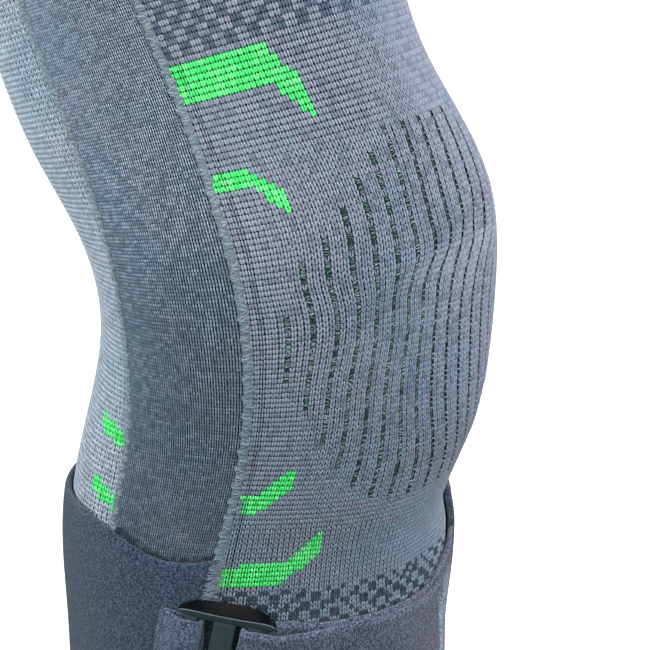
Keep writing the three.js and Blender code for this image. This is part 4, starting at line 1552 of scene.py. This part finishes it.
# The strap turns paler near both ends, partly as painted rim light.
STRAP_ENDS = {
    "lengths": [(27.0, 23.0), (strap_length - 4.5, strap_length - 3.0)],
    "below": (42.0, 34.0),
    "tint": (3.6, 3.9, 3.3, 1.0),
}
strap_colours = [(30, 36, 53), (67, 74, 95), (115, 120, 143)]
strap_plush = plush("strap_plush", strap_colours, stretch=STRAP_STRETCH, rim=STRAP_HIGHLIGHT_RIM, ends=STRAP_ENDS)
strap_uv = path_uv(strap_path, STRAP_HEIGHT)
sheet_piece("front_strap", strap_place, len(strap_path), STRAP_ROWS, STRAP_WALL, strap_plush, strap_uv)

# %% [markdown]
# ## Loose threads
# The wrap's loose threads are gathered in a list. The knit is cut small and stretches when it is put on,
# and the strap is folded through the buckle.

# %% Loose threads
threads = [pieces["wrap_end_threads"]]

# %% [markdown]
# ## Floor, light and camera
# A pale floor and five soft boxes: one near on the left, one near in front, a low cool fill, one on the
# right and one on top, in a cool surround. The camera stands at the photograph's angle.

# %% Floor
FLOOR_HALF = 3.0
FLOOR_DROP = 0.004
FLOOR_COLOUR = (0.9, 0.9, 0.9, 1.0)
FLOOR_ROUGHNESS = 0.9
FLOOR_GLOW = 0.6


def floor_finish():
    """Pale matt floor with a little light of its own, so that it stays clean white."""
    material, nodes, links, shaded = shader("pale_floor")
    shaded.inputs["Base Color"].default_value = FLOOR_COLOUR
    shaded.inputs["Roughness"].default_value = FLOOR_ROUGHNESS
    shaded.inputs["Emission Color"].default_value = (1.0, 1.0, 1.0, 1.0)
    shaded.inputs["Emission Strength"].default_value = FLOOR_GLOW
    return material


level = cad_low.z - FLOOR_DROP
floor_mesh = bpy.data.meshes.new("floor")
signs = ((-1, -1), (1, -1), (1, 1), (-1, 1))
floor_mesh.from_pydata([(x * FLOOR_HALF, y * FLOOR_HALF, level) for x, y in signs], [], [(0, 1, 2, 3)])
floor_mesh.materials.append(floor_finish())
floor = bpy.data.objects.new("floor", floor_mesh)
floor.visible_diffuse = False
floor.visible_glossy = False
bpy.context.scene.collection.objects.link(floor)
print("floor at", round(level / MM, 1), "mm")

# %% Lights
CAMERA_AZIMUTH = np.radians(-49.67)
CAMERA_ELEVATION = np.radians(20.81)


def direction(azimuth, elevation):
    """Unit vector towards a place seen at this azimuth and elevation, both in radians."""
    flat = np.cos(elevation)
    return Vector((np.sin(azimuth) * flat, -np.cos(azimuth) * flat, np.sin(elevation)))


def area_light(name, azimuth, elevation, distance, size, power, colour):
    """Square soft box that looks at the knee, its power in watts."""
    light = bpy.data.lights.new(name, "AREA")
    light.energy = power
    light.size = size
    light.color = colour
    lamp = bpy.data.objects.new(name, light)
    way = direction(np.radians(azimuth), np.radians(elevation))
    lamp.location = way * distance
    lamp.rotation_mode = "QUATERNION"
    lamp.rotation_quaternion = way.to_track_quat("Z", "Y")
    bpy.context.scene.collection.objects.link(lamp)


LIGHT_COLUMNS = ("azimuth", "elevation", "distance", "size", "power", "colour")
LIGHTS = {
    "near_left": (-130.0, 25.0, 0.5, 0.35, 1.7, (1.0, 0.98, 0.94)),
    "near_front": (-30.0, 40.0, 0.7, 0.35, 4.0, (1.0, 0.98, 0.96)),
    "low_fill": (-60.0, 10.0, 1.2, 0.8, 6.6, (0.7, 0.96, 1.0)),
    "right": (60.0, 15.0, 1.2, 0.8, 9.6, (0.97, 0.94, 1.0)),
    "top": (0.0, 80.0, 1.2, 0.8, 3.4, (1.0, 1.0, 1.0)),
}
for name, sizes in LIGHTS.items():
    area_light(name, **dict(zip(LIGHT_COLUMNS, sizes)))
SURROUND_COLOUR = (0.9, 0.96, 1.0, 1.0)
SURROUND_STRENGTH = 0.2
world = bpy.data.worlds.new("studio")
world.use_nodes = True
surround = world.node_tree.nodes["Background"].inputs
surround["Color"].default_value = SURROUND_COLOUR
surround["Strength"].default_value = SURROUND_STRENGTH
bpy.context.scene.world = world
bpy.context.scene.view_settings.view_transform = "Standard"
print("lights:", list(LIGHTS))

# %% Camera
CAMERA_DISTANCE = 0.85
CAMERA_LENS = 153.0
SENSOR_WIDTH = 36.0
AIM_RIGHT = 18.1
AIM_DOWN = 20.1

back_way = direction(CAMERA_AZIMUTH, CAMERA_ELEVATION)
right_way = Vector((np.cos(CAMERA_AZIMUTH), np.sin(CAMERA_AZIMUTH), 0.0))
aim = right_way * (AIM_RIGHT * MM) - back_way.cross(right_way) * (AIM_DOWN * MM)
lens = bpy.data.cameras.new("camera")
lens.lens = CAMERA_LENS
lens.sensor_width = SENSOR_WIDTH
camera = bpy.data.objects.new("camera", lens)
camera.location = aim + back_way * CAMERA_DISTANCE
camera.rotation_mode = "QUATERNION"
camera.rotation_quaternion = back_way.to_track_quat("Z", "Y")
bpy.context.scene.collection.objects.link(camera)
bpy.context.scene.camera = camera
print("camera at", [round(value, 3) for value in camera.location])
